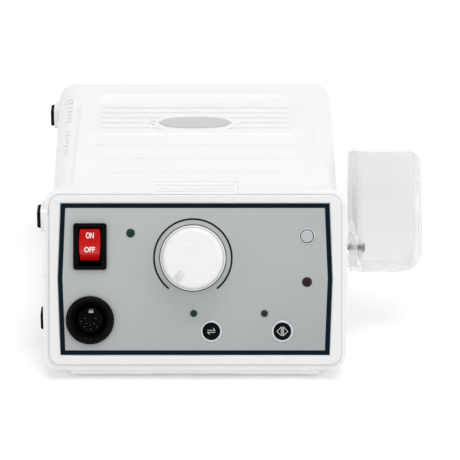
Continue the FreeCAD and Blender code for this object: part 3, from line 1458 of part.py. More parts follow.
def mains_inlet():
    body = new_body("mains_inlet")
    face = deck_face() + s.inlet_flange_thick
    pad(body, "flange", "XZ", deck_face(), face,
        centred(inlet_x(), s.inlet_z, s.inlet_flange_wide, s.inlet_flange_tall, 2.5))
    fillet(body, "flange_edge", 0.5, flat_at("Y", face))
    pad(body, "case", "XZ", deck_face() - s.inlet_deep, deck_face(),
        centred(inlet_x(), s.inlet_z, s.inlet_wide, s.inlet_tall, 1))
    pocket(body, "mouth", "XZ", face - s.inlet_mouth_deep, face + 1, inlet_slot())
    pins = new_body("inlet_pins")
    reach = s.inlet_pitch / 2
    floor = face - s.inlet_mouth_deep
    pad(pins, "pins", "XZ", floor, face - 2.5, Disc(inlet_x() - reach, s.inlet_z, s.inlet_pin),
        Disc(inlet_x() + reach, s.inlet_z, s.inlet_pin))
    fillet(pins, "tips", 0.6, flat_at("Y", face - 2.5))


def foot_pedal_jack():
    body = new_body("pedal_jack")
    inner = deck_face() - s.deck_thick
    pad(body, "case", "XZ", inner - s.jack_deep, inner,
        centred(s.jack_x, s.jack_z, s.jack_body, s.jack_body, 1))
    pad(body, "bush", "XZ", inner, deck_face() + s.jack_proud, Disc(s.jack_x, s.jack_z, s.jack_bush))
    pocket(body, "bore", "XZ", deck_face() - s.jack_bore_deep, deck_face() + s.jack_proud + 1,
           Disc(s.jack_x, s.jack_z, s.jack_bore))
    lock = new_body("pedal_jack_nut")
    pad(lock, "nut", "XZ", deck_face(), deck_face() + s.jack_nut_thick,
        hexagon(s.jack_x, s.jack_z, s.jack_nut_flats),
        Disc(s.jack_x, s.jack_z, s.jack_bush))


def fuse_holder():
    body = new_body("fuse_holder")
    face = deck_face() + s.fuse_flange_thick
    rear = deck_face() - s.fuse_deep
    pad(body, "flange", "XZ", deck_face(), face, Disc(fuse_x(), s.fuse_z, s.fuse_flange))
    pad(body, "case", "XZ", rear, deck_face(), Disc(fuse_x(), s.fuse_z, s.fuse_body))
    pocket(body, "bore", "XZ", rear + s.fuse_floor, face + 1, Disc(fuse_x(), s.fuse_z, s.fuse_bore))
    cap = new_body("fuse_cap")
    seat = face + s.pivot_gap
    head = seat + s.fuse_cap_thick
    pad(cap, "head", "XZ", seat, head, Disc(fuse_x(), s.fuse_z, s.fuse_cap_head))
    chamfer(cap, "head_edge", 0.6, flat_at("Y", head))
    pad(cap, "plug", "XZ", face - s.fuse_cap_long, seat, Disc(fuse_x(), s.fuse_z, s.fuse_bore - s.pivot_gap))
    pocket(cap, "slot", "XZ", head - 1.5, head + 1,
           centred(fuse_x(), s.fuse_z, 2 * s.fuse_cap_head + 1, s.fuse_cap_slot))
    fuse = new_body("fuse")
    front = face - s.fuse_cap_long - 0.2
    pad(fuse, "tube", "XZ", front - s.fuse_long, front, Disc(fuse_x(), s.fuse_z, s.fuse_radius))


# Main board and transformer

def board_top():
    return s.main_z + s.board_thick


def main_board():
    body = new_body("main_board")
    pad(body, "board", "XY", s.main_z, board_top(),
        rectangle(s.main_left, s.main_right, s.main_front_y, s.main_rear_y))
    pocket(body, "holes", "XY", s.main_z - 1, board_top() + 1, *discs(stand_places(), s.board_screw + 0.2))
    screws = new_body("main_board_screws")
    pad(screws, "heads", "XY", board_top(), board_top() + s.board_screw_cap,
        *discs(stand_places(), s.board_screw_head))
    pad(screws, "shanks", "XY", board_top() - s.board_screw_long + 0.5, board_top(),
        *discs(stand_places(), s.board_screw))


def board_parts():
    """The capacitor, rectifier, heat sink, power transistor and plugs on the main board."""
    can = new_body("smoothing_capacitor")
    pad(can, "can", "XY", board_top(), board_top() + s.can_tall, Disc(s.can_x, s.can_y, s.can_radius))
    fillet(can, "edge", 0.8, flat_at("Z", board_top() + s.can_tall))
    bridge = new_body("rectifier")
    pad(bridge, "block", "XY", board_top(), board_top() + s.bridge_tall,
        centred(s.bridge_x, s.bridge_y, s.bridge_side, s.bridge_side, 1))
    heat_sink()
    chip = new_body("power_transistor")
    front = s.sink_y - s.sink_deep / 2
    low = board_top() + 3
    pad(chip, "tab", "XY", low, low + s.chip_tall,
        rectangle(s.sink_x - s.chip_wide / 2, s.sink_x + s.chip_wide / 2, front - s.chip_thick, front))
    pad(chip, "legs", "XY", board_top(), low,
        *[centred(s.sink_x + 2.54 * step, front - s.chip_thick / 2, 0.9, 0.9) for step in (-1, 0, 1)])
    plugs = new_body("board_plugs")
    along = s.main_front_y + 1.5 * s.plug_deep
    pad(plugs, "plugs", "XY", board_top(), board_top() + s.plug_tall,
        centred(s.sink_x + s.plug_long, along, s.plug_long, s.plug_deep),
        centred(s.sink_x, s.main_rear_y - s.plug_deep, s.plug_long, s.plug_deep))


def heat_sink():
    """A comb of fins on a back plate."""
    body = new_body("heat_sink")
    top = board_top() + s.sink_tall
    left = s.sink_x - s.sink_long / 2
    front = s.sink_y - s.sink_deep / 2
    pad(body, "back", "XY", board_top(), top, rectangle(left, left + s.sink_long, front,
                                                        front + 2 * s.sink_fin))
    pitch = (s.sink_long - s.sink_fin) / (s.sink_fins - 1)
    fin = pad(body, "fin", "XY", board_top(), top, rectangle(left, left + s.sink_fin, front,
                                                             front + s.sink_deep))
    repeat(body, "fins", fin, "H_Axis", pitch, int(s.sink_fins.value))


def transformer():
    """Laminations with two windows, a winding round their middle limb, and a strap that holds them down."""
    core = new_body("transformer_core")
    half = s.core_wide / 2
    low = s.core_foot_z
    top = low + s.core_tall
    limb = s.core_limb
    inner = half - limb - s.core_window_wide
    front = s.core_y - s.core_stack / 2
    windows = [rectangle(s.core_x + side * inner, s.core_x + side * (half - limb), low + limb, top - limb)
               for side in (-1, 1)]
    pad(core, "laminations", "XZ", front, front + s.core_stack,
        rectangle(s.core_x - half, s.core_x + half, low, top), *windows)
    coil = new_body("transformer_winding")
    gap = s.coil_gap
    reach = half - limb - gap
    deep = s.core_stack + 2 * s.coil_over
    pad(coil, "winding", "XY", low + limb + gap, top - limb - gap,
        centred(s.core_x, s.core_y, 2 * reach, deep, s.coil_round),
        centred(s.core_x, s.core_y, 2 * (inner + gap), s.core_stack + 2 * gap))
    strap = new_body("transformer_bracket")
    thick = s.strap_thick
    outer = half + thick
    tip = outer + s.strap_ear
    corners = [(-tip, low), (-half, low), (-half, top), (half, top), (half, low), (tip, low),
               (tip, low + thick),
               (outer, low + thick), (outer, top + thick), (-outer, top + thick), (-outer, low + thick),
               (-tip, low + thick)]
    pad(strap, "strap", "XZ", s.core_y - s.strap_wide / 2, s.core_y + s.strap_wide / 2,
        Outline(*[(s.core_x + x, z) for x, z in corners]))
    pocket(strap, "holes", "XY", low - 1, low + 2 * thick, *discs(ear_places(), s.board_screw + 0.2))
    screws = new_body("transformer_screws")
    pad(screws, "heads", "XY", low + thick, low + thick + s.board_screw_cap,
        *discs(ear_places(), s.board_screw_head))
    pad(screws, "shanks", "XY", low + thick - s.board_screw_long + 0.5, low + thick,
        *discs(ear_places(), s.board_screw))


# Handpiece cup, in its own coordinates: X as in the row, Y to its rear and Z along it from its axis

def place_on_cup(body):
    place(body, 0, s.cup_y, s.cup_z, -s.cup_lean)


def cup_outline(gap, rise, foot_round=None):
    """The cup from the front, its outer side leaning in, drawn gap inside its own surface."""
    low = gap - s.cup_bottom
    left = s.cup_in_x + gap
    top = s.cup_top + rise
    return Outline((left, low, foot_round), (s.cup_out_low_x - gap, low, s.cup_out_round - gap),
                   (s.cup_out_top_x - gap, top), (left, top))


def holder_cup():
    """A clear cup with rounded edges; a recess in the lower part of its inner side takes its screw."""
    body = new_body("holder_cup")
    place_on_cup(body)
    wall = s.cup_wall
    low = -s.cup_bottom
    inner = s.cup_in_x
    half = s.cup_deep / 2
    space = half - wall

    def below_rim(at):
        return at.z < s.cup_top.value - 0.5

    pad(body, "outside", "XZ", -half, half, cup_outline(0, 0))
    inner_corner = s.cup_corner - wall
    pocket(body, "inside", "XZ", -space, space, cup_outline(wall, 1, inner_corner + 0.5))
    for number, level in enumerate((-space, space)):
        fillet(body, f"inner_edges_{number}", inner_corner, flat_at("Y", level, below_rim))
    for number, level in enumerate((-half, half)):
        fillet(body, f"edges_{number}", s.cup_corner, flat_at("Y", level, below_rim))
    slope_top = s.notch_high + s.notch_slope
    root = 0.9 * wall
    deep = s.notch_half + wall
    pad(body, "notch_wall", "XZ", -deep, deep,
        Outline((inner + root, low + root), (s.notch_x + wall, low + root),
                (s.notch_x + wall, s.notch_high + wall / 2), (inner + wall, slope_top + wall),
                (inner + root, slope_top + wall)))
    pocket(body, "notch", "XZ", -s.notch_half, s.notch_half,
           Outline((inner - 1, low - 1), (s.notch_x, low - 1), (s.notch_x, s.notch_high), (inner, slope_top),
                   (inner - 1, slope_top)))
    pocket(body, "screw_hole", "YZ", s.notch_x - 1, s.notch_x + wall + 1,
           Disc(0, 0, s.cup_screw + s.pivot_gap))
    edge = s.cup_out_top_x + 0.5
    high = s.cup_top
    pocket(body, "rim_dip", "XZ", -s.cup_deep, s.cup_deep,
           Outline((edge - 2 * s.cup_dip, high), (edge, high, s.cup_dip), (edge, high - 2 * s.cup_dip),
                   (edge + 9, high - 2 * s.cup_dip), (edge + 9, high + 9), (edge - 2 * s.cup_dip, high + 9)))


def holder_fittings():
    """Spacer, threaded insert, washers and screw that carry the cup."""
    washer_out = s.notch_x - s.cup_washer_thick
    spacer = new_body("holder_spacer")
    place(spacer, 0, s.cup_y, s.cup_z)
    pad(spacer, "flange", "YZ", s.spacer_seat_x, s.spacer_face_x, Disc(0, 0, s.spacer_radius))
    fillet(spacer, "flange_edge", s.spacer_round, flat_at("X", s.spacer_face_x))
    pocket(spacer, "bore", "YZ", s.spacer_seat_x - 1, s.spacer_face_x + 1, Disc(0, 0, s.cup_screw))
    nutsert = new_body("holder_nutsert")
    place(nutsert, 0, s.cup_y, s.cup_z)
    pad(nutsert, "insert", "YZ", s.spacer_seat_x - s.nutsert_long, s.spacer_seat_x,
        Disc(0, 0, s.nutsert_radius))
    pocket(nutsert, "bore", "YZ", s.spacer_seat_x - s.nutsert_long - 1, s.spacer_seat_x + 1,
           Disc(0, 0, s.cup_screw))
    inner = s.notch_x + s.cup_wall
    washers = new_body("holder_washers")
    place(washers, 0, s.cup_y, s.cup_z)
    gap = s.pivot_gap
    pad(washers, "outer_washer", "YZ", washer_out - gap, s.notch_x - gap, Disc(0, 0, s.cup_collar))
    pad(washers, "inner_washer", "YZ", inner + gap, inner + gap + s.cup_washer_thick,
        Disc(0, 0, s.cup_washer))
    pocket(washers, "bore", "YZ", washer_out - 1, inner + 2, Disc(0, 0, s.cup_screw))
    screw = new_body("holder_screw")
    place(screw, 0, s.cup_y, s.cup_z)
    seat = inner + gap + s.cup_washer_thick
    pad(screw, "shank", "YZ", s.spacer_seat_x - s.nutsert_long + 1, seat, Disc(0, 0, s.cup_screw))
    pad(screw, "head", "YZ", seat, seat + s.cup_head_thick, Disc(0, 0, s.cup_head))
    fillet(screw, "head_edge", 0.7, flat_at("X", seat + s.cup_head_thick))


def build():
    upper_housing()
    lower_housing()
    base_feet()
    side_feet()
    housing_screws()
    badge_plate()
    front_frame()
    control_panel()
    key_rings()
    round_key("hand_foot_button", s.mode_x, -s.key_down, s.key_radius)
    round_key("direction_button", s.turn_x, -s.key_down, s.key_radius)
    round_key("reset_button", s.reset_x, s.reset_up, s.reset_radius)
    tact_switches()
    control_board()
    control_board_screws()
    lamp("power_lamp", s.power_lamp_x, s.power_lamp_up, s.power_lamp_radius)
    lamp("hand_foot_lamp", s.mode_lamp_x, -s.lamp_down, s.small_lamp_radius)
    lamp("direction_lamp", s.turn_lamp_x, -s.lamp_down, s.small_lamp_radius)
    lamp("overload_lamp", s.load_lamp_x, -s.load_lamp_down, s.load_lamp_radius)
    power_switch_frame()
    power_switch_rocker()
    power_switch_blades()
    speed_knob()
    pot_shaft()
    pot_body()
    lock = nut("potentiometer_nut", s.pot_nut_flats, -s.label_thick, s.pot_nut_thick, s.bush_radius)
    place_on_panel(lock, s.knob_x)
    handpiece_socket()
    rear_panel()
    mains_inlet()
    foot_pedal_jack()
    fuse_holder()
    main_board()
    board_parts()
    transformer()
    holder_cup()
    holder_fittings()


def is_faulty(item):
    return "Invalid" in item.State or "Error" in item.State


def check_and_write():
    doc.recompute()
    faults = [f"{item.Name}: {item.State}" for item in doc.Objects if is_faulty(item)]
    for name, solid in solids.items():
        if solid.Shape.isNull() or not solid.Shape.isValid():
            faults.append(f"{name}: no valid shape")
    if faults:
        raise RuntimeError("; ".join(faults))
    os.makedirs("parts", exist_ok=True)
    for name, solid in solids.items():
        solid.Shape.exportStep(os.path.join("parts", f"{name}.step"))
        print(f"{name}: {len(solid.Shape.Solids)} solids, {solid.Shape.Volume:.0f} mm3")


build()
check_and_write()
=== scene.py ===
# %% [markdown]
# A table-top control box for a nail drill: a white moulded housing with a sloping panel that carries a
# speed knob, a rocker switch, three keys, four lamps and a round socket, and a clear cup on its side for
# the handpiece. The construction model comes in first as a fixed frame. Every piece made here is in
# metres in the same frame: X to the right, Y to the rear, Z up.

import json
import math

import bmesh
import bpy
from mathutils import Matrix, Vector

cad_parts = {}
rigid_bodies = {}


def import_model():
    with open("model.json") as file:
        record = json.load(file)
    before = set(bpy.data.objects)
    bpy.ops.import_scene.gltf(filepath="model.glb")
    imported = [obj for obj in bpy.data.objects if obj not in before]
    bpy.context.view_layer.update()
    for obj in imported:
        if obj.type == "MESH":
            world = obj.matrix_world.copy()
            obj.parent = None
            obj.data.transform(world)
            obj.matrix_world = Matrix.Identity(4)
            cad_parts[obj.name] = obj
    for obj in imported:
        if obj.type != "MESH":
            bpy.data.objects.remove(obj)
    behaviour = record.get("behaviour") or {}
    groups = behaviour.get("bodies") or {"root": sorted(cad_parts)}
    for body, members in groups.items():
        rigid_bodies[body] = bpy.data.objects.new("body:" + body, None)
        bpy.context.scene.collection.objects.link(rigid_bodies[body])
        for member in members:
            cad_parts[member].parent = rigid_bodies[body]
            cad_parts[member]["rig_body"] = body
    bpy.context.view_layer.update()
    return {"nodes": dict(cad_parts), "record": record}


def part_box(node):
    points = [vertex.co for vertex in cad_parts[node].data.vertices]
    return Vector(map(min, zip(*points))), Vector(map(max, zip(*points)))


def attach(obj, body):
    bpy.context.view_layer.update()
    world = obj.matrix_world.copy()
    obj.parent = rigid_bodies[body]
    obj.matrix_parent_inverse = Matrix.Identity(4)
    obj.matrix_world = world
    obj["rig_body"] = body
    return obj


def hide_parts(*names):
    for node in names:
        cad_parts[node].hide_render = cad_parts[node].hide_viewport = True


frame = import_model()

# %% [markdown]
# The pieces made here are drawn in millimetres and counted from the housing's own middle, and a matrix
# lays them in the frame. They could be drawn in the frame's metres straight away, but a designer's drawing
# is easier to follow in round millimetres. The panel leans back 27.5 degrees. What sits on it is drawn
# flat, with X across, Y up the panel and Z out of it, from a point near the middle of the speed knob.

# %% Places to draw in
MM = 0.001
REAR_FACE_Y = 82.5
PANEL_Y = -59.5
PANEL_Z = 51.7
PANEL_TILT = math.radians(27.5)
frame_low, frame_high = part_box("front_frame")
middle_x = (frame_low.x + frame_high.x) / 2
middle_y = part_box("rear_panel")[1].y - REAR_FACE_Y * MM
IN_ROW = Matrix.Translation((middle_x, middle_y, 0)) @ Matrix.Scale(MM, 4)
PANEL_CENTRE = IN_ROW @ Vector((0, PANEL_Y, PANEL_Z))
ON_PANEL = Matrix.Translation(PANEL_CENTRE) @ Matrix.Rotation(math.pi / 2 - PANEL_TILT, 4, "X")
ON_PANEL = ON_PANEL @ Matrix.Scale(MM, 4)


def panel_spot(across, up, out=0.0):
    """The matrix of a spot on the panel."""
    return ON_PANEL @ Matrix.Translation((across, up, out))


print("housing's middle in the frame, mm", round(middle_x / MM, 2), round(middle_y / MM, 2))

# %% [markdown]
# The camera stands square to the panel, about a metre away, with a long lens. A turned camera could centre
# the object too, but it would no longer be square to the panel, so the lens is shifted instead.

# %% Camera
CAMERA_DISTANCE = 1.044
LOOK = Vector((0.0, math.cos(PANEL_TILT), -math.sin(PANEL_TILT)))
camera_data = bpy.data.cameras.new("camera")
camera_data.sensor_width = 36
camera_data.lens = 180
camera_data.shift_x = 0.0759
camera_data.shift_y = 0.0609
camera_data.clip_start = 0.05
camera_data.clip_end = 30
camera = bpy.data.objects.new("camera", camera_data)
camera.location = PANEL_CENTRE - LOOK * CAMERA_DISTANCE
camera.rotation_euler = (math.pi / 2 - PANEL_TILT, 0, 0)
bpy.context.scene.collection.objects.link(camera)
bpy.context.scene.camera = camera
print("camera at", tuple(round(value, 4) for value in camera.location))

# %% [markdown]
# Soft studio light: a world that is brighter above than at its horizon, a wide panel overhead, weaker ones
# to the left and right, and a narrow strip above that gives rounded edges and domes their glints. What the
# camera sees past the object, and what gloss and glass show of the world, is plain white instead, as the
# backdrop is. A brighter world would do that as well, but it would wash out the white housing.

# %% Light
def seen_directly(tree):
    """A socket that is 1 for what the camera sees, also by way of a mirror or through glass."""
    rays = tree.nodes.new("ShaderNodeLightPath")
    seen = rays.outputs["Is Camera Ray"]
    for ray in ("Is Glossy Ray", "Is Transmission Ray"):
        either = tree.nodes.new("ShaderNodeMath")
        either.operation = "MAXIMUM"
        tree.links.new(seen, either.inputs[0])
        tree.links.new(rays.outputs[ray], either.inputs[1])
        seen = either.outputs[0]
    return seen


scene = bpy.context.scene
scene.view_settings.view_transform = "Standard"
world = bpy.data.worlds.new("studio")
scene.world = world
world.use_nodes = True
sky = world.node_tree
sky.nodes.clear()
sky_out = sky.nodes.new("ShaderNodeOutputWorld")
sky_mix = sky.nodes.new("ShaderNodeMixShader")
soft_sky = sky.nodes.new("ShaderNodeBackground")
plain_sky = sky.nodes.new("ShaderNodeBackground")
for background in (soft_sky, plain_sky):
    background.inputs["Color"].default_value = (1, 1, 1, 1)
heights = sky.nodes.new("ShaderNodeSeparateXYZ")
grade = sky.nodes.new("ShaderNodeMapRange")
grade.inputs["To Min"].default_value = 0.44
grade.inputs["To Max"].default_value = 0.64
sky.links.new(sky.nodes.new("ShaderNodeTexCoord").outputs["Generated"], heights.inputs[0])
sky.links.new(heights.outputs["Z"], grade.inputs["Value"])
sky.links.new(grade.outputs["Result"], soft_sky.inputs["Strength"])
sky.links.new(seen_directly(sky), sky_mix.inputs[0])
sky.links.new(soft_sky.outputs[0], sky_mix.inputs[1])
sky.links.new(plain_sky.outputs[0], sky_mix.inputs[2])
sky.links.new(sky_mix.outputs[0], sky_out.inputs["Surface"])


def soft_box(name, place, aim, width, height, power):
    """A rectangular light at a place, aimed at a point."""
    data = bpy.data.lights.new(name, "AREA")
    data.shape = "RECTANGLE"
    data.size = width
    data.size_y = height
    data.energy = power
    light = bpy.data.objects.new(name, data)
    light.location = place
    light.rotation_euler = (Vector(aim) - Vector(place)).to_track_quat("-Z", "Y").to_euler()
    scene.collection.objects.link(light)


soft_box("overhead", (0.15, -0.05, 1.1), (0.0, 0, 0.04), 1.1, 0.9, 5.3)
soft_box("strip", (0.0, -0.35, 1.25), (0, -0.06, 0.05), 0.5, 0.08, 0.9)
soft_box("left", (-0.95, -0.75, 0.6), (0, 0, 0.04), 0.6, 0.8, 2.6)
soft_box("right", (0.95, -0.75, 0.6), (0, 0, 0.04), 0.6, 0.8, 3.0)

# %% [markdown]
# The floor is a plain sheet, nearly white. Where it is seen directly it glows a little, and more further
# out, so that it meets the white backdrop without an edge. A shadow catcher would hide the floor as well,
# but then no view would show what the box stands on. Near the box the floor keeps the soft shadow.

# %% Floor
FLOOR_REACH = 6.0
floor_mesh = bpy.data.meshes.new("floor")
corners = [(x * FLOOR_REACH, y * FLOOR_REACH, 0) for x, y in ((-1, -1), (1, -1), (1, 1), (-1, 1))]
floor_mesh.from_pydata(corners, [], [(0, 1, 2, 3)])
floor = bpy.data.objects.new("floor", floor_mesh)
scene.collection.objects.link(floor)
floor_paper = bpy.data.materials.new("floor_paper")
floor_paper.use_nodes = True
paper = floor_paper.node_tree.nodes["Principled BSDF"]
paper.inputs["Base Color"].default_value = (0.93, 0.93, 0.93, 1)
paper.inputs["Roughness"].default_value = 0.9
paper.inputs["Specular IOR Level"].default_value = 0.0
paper.inputs["Emission Color"].default_value = (1, 1, 1, 1)
ground = floor_paper.node_tree
distance = ground.nodes.new("ShaderNodeVectorMath")
distance.operation = "LENGTH"
ground.links.new(ground.nodes.new("ShaderNodeTexCoord").outputs["Object"], distance.inputs[0])
further = ground.nodes.new("ShaderNodeMapRange")
for label, value in (("From Min", 0.12), ("From Max", 0.7), ("To Min", 0.02), ("To Max", 0.6)):
    further.inputs[label].default_value = value
ground.links.new(distance.outputs["Value"], further.inputs["Value"])
glow = ground.nodes.new("ShaderNodeMath")
glow.operation = "MULTIPLY_ADD"
glow.inputs[2].default_value = 0.12
ground.links.new(seen_directly(ground), glow.inputs[0])
ground.links.new(further.outputs["Result"], glow.inputs[1])
ground.links.new(glow.outputs[0], paper.inputs["Emission Strength"])
floor_mesh.materials.append(floor_paper)
print("floor", 2 * FLOOR_REACH, "m wide")

# %% [markdown]
# Every finish needs the same few shader effects, so each effect is a node group with named inputs that is
# built once. Written out node by node the groups would be long, so a small helper class does the wiring.

# %% A helper for shader trees
class Wiring:
    """Adds nodes to a tree and links their sockets."""

    def __init__(self, tree):
        self.tree = tree

    def node(self, kind, **settings):
        item = self.tree.nodes.new("ShaderNode" + kind)
        for name, value in settings.items():
            setattr(item, name, value)
        return item

    def link(self, output, target):
        self.tree.links.new(output, target)

    def noise(self, where, scale, detail=2.0):
        """A noise texture whose scale is in spots per metre."""
        item = self.node("TexNoise")
        item.inputs["Detail"].default_value = detail
        self.link(where, item.inputs["Vector"])
        self.feed(scale, item.inputs["Scale"])
        return item.outputs["Fac"]

    def feed(self, value, target):
        """Links a socket, or sets a plain value."""
        if isinstance(value, bpy.types.NodeSocket):
            self.link(value, target)
        else:
            target.default_value = value

    def math(self, operation, first, second=0.0, third=0.0):
        item = self.node("Math", operation=operation)
        for value, target in zip((first, second, third), item.inputs):
            self.feed(value, target)
        return item.outputs[0]

    def spread(self, value, low, high, to_low, to_high):
        """Maps a range of values to another."""
        item = self.node("MapRange")
        self.link(value, item.inputs["Value"])
        for name, bound in (("From Min", low), ("From Max", high), ("To Min", to_low), ("To Max", to_high)):
            self.feed(bound, item.inputs[name])
        return item.outputs["Result"]


def new_group(name, inputs, outputs):
    """An empty shader group with named number inputs and named outputs."""
    tree = bpy.data.node_groups.new(name, "ShaderNodeTree")
    for label, value in inputs.items():
        socket = tree.interface.new_socket(label, in_out="INPUT", socket_type="NodeSocketFloat")
        socket.default_value = value
    for label, kind in outputs.items():
        tree.interface.new_socket(label, in_out="OUTPUT", socket_type="NodeSocket" + kind)
    wires = Wiring(tree)
    return tree, wires, wires.node("TexCoord").outputs["Object"]


def group_ends(tree):
    """The sockets inside a group: what comes in, and what goes out."""
    return tree.nodes.new("NodeGroupInput").outputs, tree.nodes.new("NodeGroupOutput").inputs


print("helper:", Wiring.__doc__)

# %% [markdown]
# Injection-moulded plastic is never quite smooth: a spark-eroded mould leaves a fine grain, and the gloss
# changes softly from place to place. A picture of a grain would need a flat layout of every piece, and
# noise needs none. So the group gives a normal from a fine noise and a roughness from a broad one.

# %% Moulded skin
skin_inputs = {"Grain": 1800.0, "Depth": 0.08, "Roughness": 0.4, "Drift": 0.06}
skin_outputs = {"Roughness": "Float", "Normal": "Vector"}
moulded_skin, wires, where = new_group("moulded_skin", skin_inputs, skin_outputs)
given, results = group_ends(moulded_skin)
grain = wires.noise(where, given["Grain"], 3.0)
bump = wires.node("Bump")
bump.inputs["Distance"].default_value = 0.00006
wires.link(given["Depth"], bump.inputs["Strength"])
wires.link(grain, bump.inputs["Height"])
patches = wires.noise(where, 45.0)
drift = wires.math("MULTIPLY_ADD", wires.math("SUBTRACT", patches, 0.5), given["Drift"], given["Roughness"])
wires.link(drift, results["Roughness"])
wires.link(bump.outputs["Normal"], results["Normal"])
print("group", moulded_skin.name, len(moulded_skin.nodes), "nodes")

# %% [markdown]
# A rolled or brushed sheet has hair-fine lines in one direction. Noise that is squeezed across the lines
# and stretched along them looks like that. Object coordinates run across the object's width, so lines
# that run up the panel keep their direction on its sloping face, which a flat layout would have to repeat.

# %% Brushed lines
brush_inputs = {"Fineness": 9000.0, "Contrast": 0.5, "Roughness": 0.4, "Depth": 0.05}
brush_outputs = {"Shade": "Float", "Roughness": "Float", "Normal": "Vector"}
brushed_lines, wires, where = new_group("brushed_lines", brush_inputs, brush_outputs)
given, results = group_ends(brushed_lines)
stretch = wires.node("VectorMath", operation="MULTIPLY")
wires.link(where, stretch.inputs[0])
stretch.inputs[1].default_value = (1.0, 0.02, 0.02)
hairs = wires.noise(stretch.outputs[0], given["Fineness"], 4.0)
broad = wires.noise(stretch.outputs[0], 420.0, 2.0)
both = wires.math("ADD", wires.math("MULTIPLY", hairs, 0.6), wires.math("MULTIPLY", broad, 0.4))
centred = wires.math("SUBTRACT", both, 0.5)
wires.link(wires.math("MULTIPLY_ADD", centred, given["Contrast"], 1.0), results["Shade"])
wires.link(wires.math("MULTIPLY_ADD", centred, 0.35, given["Roughness"]), results["Roughness"])
bump = wires.node("Bump")
bump.inputs["Distance"].default_value = 0.00002
wires.link(given["Depth"], bump.inputs["Strength"])
wires.link(hairs, bump.inputs["Height"])
wires.link(bump.outputs["Normal"], results["Normal"])
print("group", brushed_lines.name, len(brushed_lines.nodes), "nodes")

# %% [markdown]
# Handling leaves faint marks: a few duller smudges and hairline scratches. On glossy parts they show in
# the gloss and not in the colour. So the group gives a mask that a material adds to its roughness.

# %% Handling marks
marks_inputs = {"Smudges": 1.0, "Scratches": 1.0}
handling_marks, wires, where = new_group("handling_marks", marks_inputs, {"Mask": "Float"})
given, results = group_ends(handling_marks)
cloud = wires.spread(wires.noise(where, 60.0, 4.0), 0.5, 0.75, 0.0, 1.0)
turn = wires.node("Mapping")
turn.inputs["Rotation"].default_value = (0.3, 0.8, 0.5)
turn.inputs["Scale"].default_value = (1.0, 0.03, 1.0)
wires.link(where, turn.inputs["Vector"])
lines = wires.noise(turn.outputs["Vector"], 3000.0, 1.0)
hair = wires.spread(lines, 0.69, 0.75, 0.0, 1.0)
total = wires.math("ADD", wires.math("MULTIPLY", cloud, given["Smudges"]),
                   wires.math("MULTIPLY", hair, given["Scratches"]))
wires.link(total, results["Mask"])
print("group", handling_marks.name, len(handling_marks.nodes), "nodes")

# %% [markdown]
# Most finishes are a plain Principled surface with one of these groups on it. The constants could come out
# of the groups too, but they are set on the surface's own sockets, where an export can read them.

# %% A material's base
MIX_FIRST, MIX_SECOND, MIX_RESULT = 6, 7, 2  # the colour sockets of a Mix node


def new_material(name, colour, roughness, **settings):
    """A Principled material with its plain values set."""
    material = bpy.data.materials.new(name)
    material.use_nodes = True
    surface = material.node_tree.nodes["Principled BSDF"]
    surface.inputs["Base Color"].default_value = (*colour, 1)
    surface.inputs["Roughness"].default_value = roughness
    for label, value in settings.items():
        surface.inputs[label.replace("_", " ")].default_value = value
    material.diffuse_color = (*colour, 1)
    return material, Wiring(material.node_tree), surface


def place_group(wires, group, **values):
    """A group node with its own values."""
    item = wires.tree.nodes.new("ShaderNodeGroup")
    item.node_tree = group
    for label, value in values.items():
        item.inputs[label].default_value = value
    return item


def tinted(wires, surface, factor, dark, light):
    """Drives the base colour between two colours by a factor."""
    ramp = wires.node("Mix", data_type="RGBA")
    ramp.inputs[MIX_FIRST].default_value = (*dark, 1)
    ramp.inputs[MIX_SECOND].default_value = (*light, 1)
    wires.link(factor, ramp.inputs[0])
    wires.link(ramp.outputs[MIX_RESULT], surface.inputs["Base Color"])


def moulded(name, colour, roughness, grain, depth, shift=0.03, marks=0.0, **settings):
    """A moulded plastic: grain, drifting gloss, a slight change of colour, and marks if it is handled."""
    material, wires, surface = new_material(name, colour, roughness, **settings)
    skin = place_group(wires, moulded_skin, Grain=grain, Depth=depth, Roughness=roughness)
    wires.link(skin.outputs["Normal"], surface.inputs["Normal"])
    gloss = skin.outputs["Roughness"]
    if marks:
        worn = place_group(wires, handling_marks)
        gloss = wires.math("MULTIPLY_ADD", worn.outputs["Mask"], marks, gloss)
    wires.link(gloss, surface.inputs["Roughness"])
    clouds = wires.noise(wires.node("TexCoord").outputs["Object"], 28.0)
    tinted(wires, surface, clouds, [value * (1 - shift) for value in colour],
           [min(1.0, value * (1 + shift)) for value in colour])
    return material


def brushed(name, colour, roughness, contrast, fineness=9000.0, **settings):
    """A metal or metal-look sheet with fine lines."""
    material, wires, surface = new_material(name, colour, roughness, **settings)
    lines = place_group(wires, brushed_lines, Fineness=fineness, Contrast=contrast, Roughness=roughness)
    wires.link(lines.outputs["Normal"], surface.inputs["Normal"])
    wires.link(lines.outputs["Roughness"], surface.inputs["Roughness"])
    factor = wires.spread(lines.outputs["Shade"], 1 - contrast / 2, 1 + contrast / 2, 0.0, 1.0)
    tinted(wires, surface, factor, [value * (1 - contrast / 2) for value in colour],
           [min(1.0, value * (1 + contrast / 2)) for value in colour])
    return material


print("a plastic and a metal are ready to be given colours")

# %% [markdown]
# The housing is white satin plastic with a faint grain. The panel is a silver label: brushed lines under a
# clear film, which is why it is only partly metallic. The knob is glossier than the housing, and the
# switch, socket and rear parts are black. One material could serve several parts, but each has its own
# grain and gloss, as its own mould gives it.

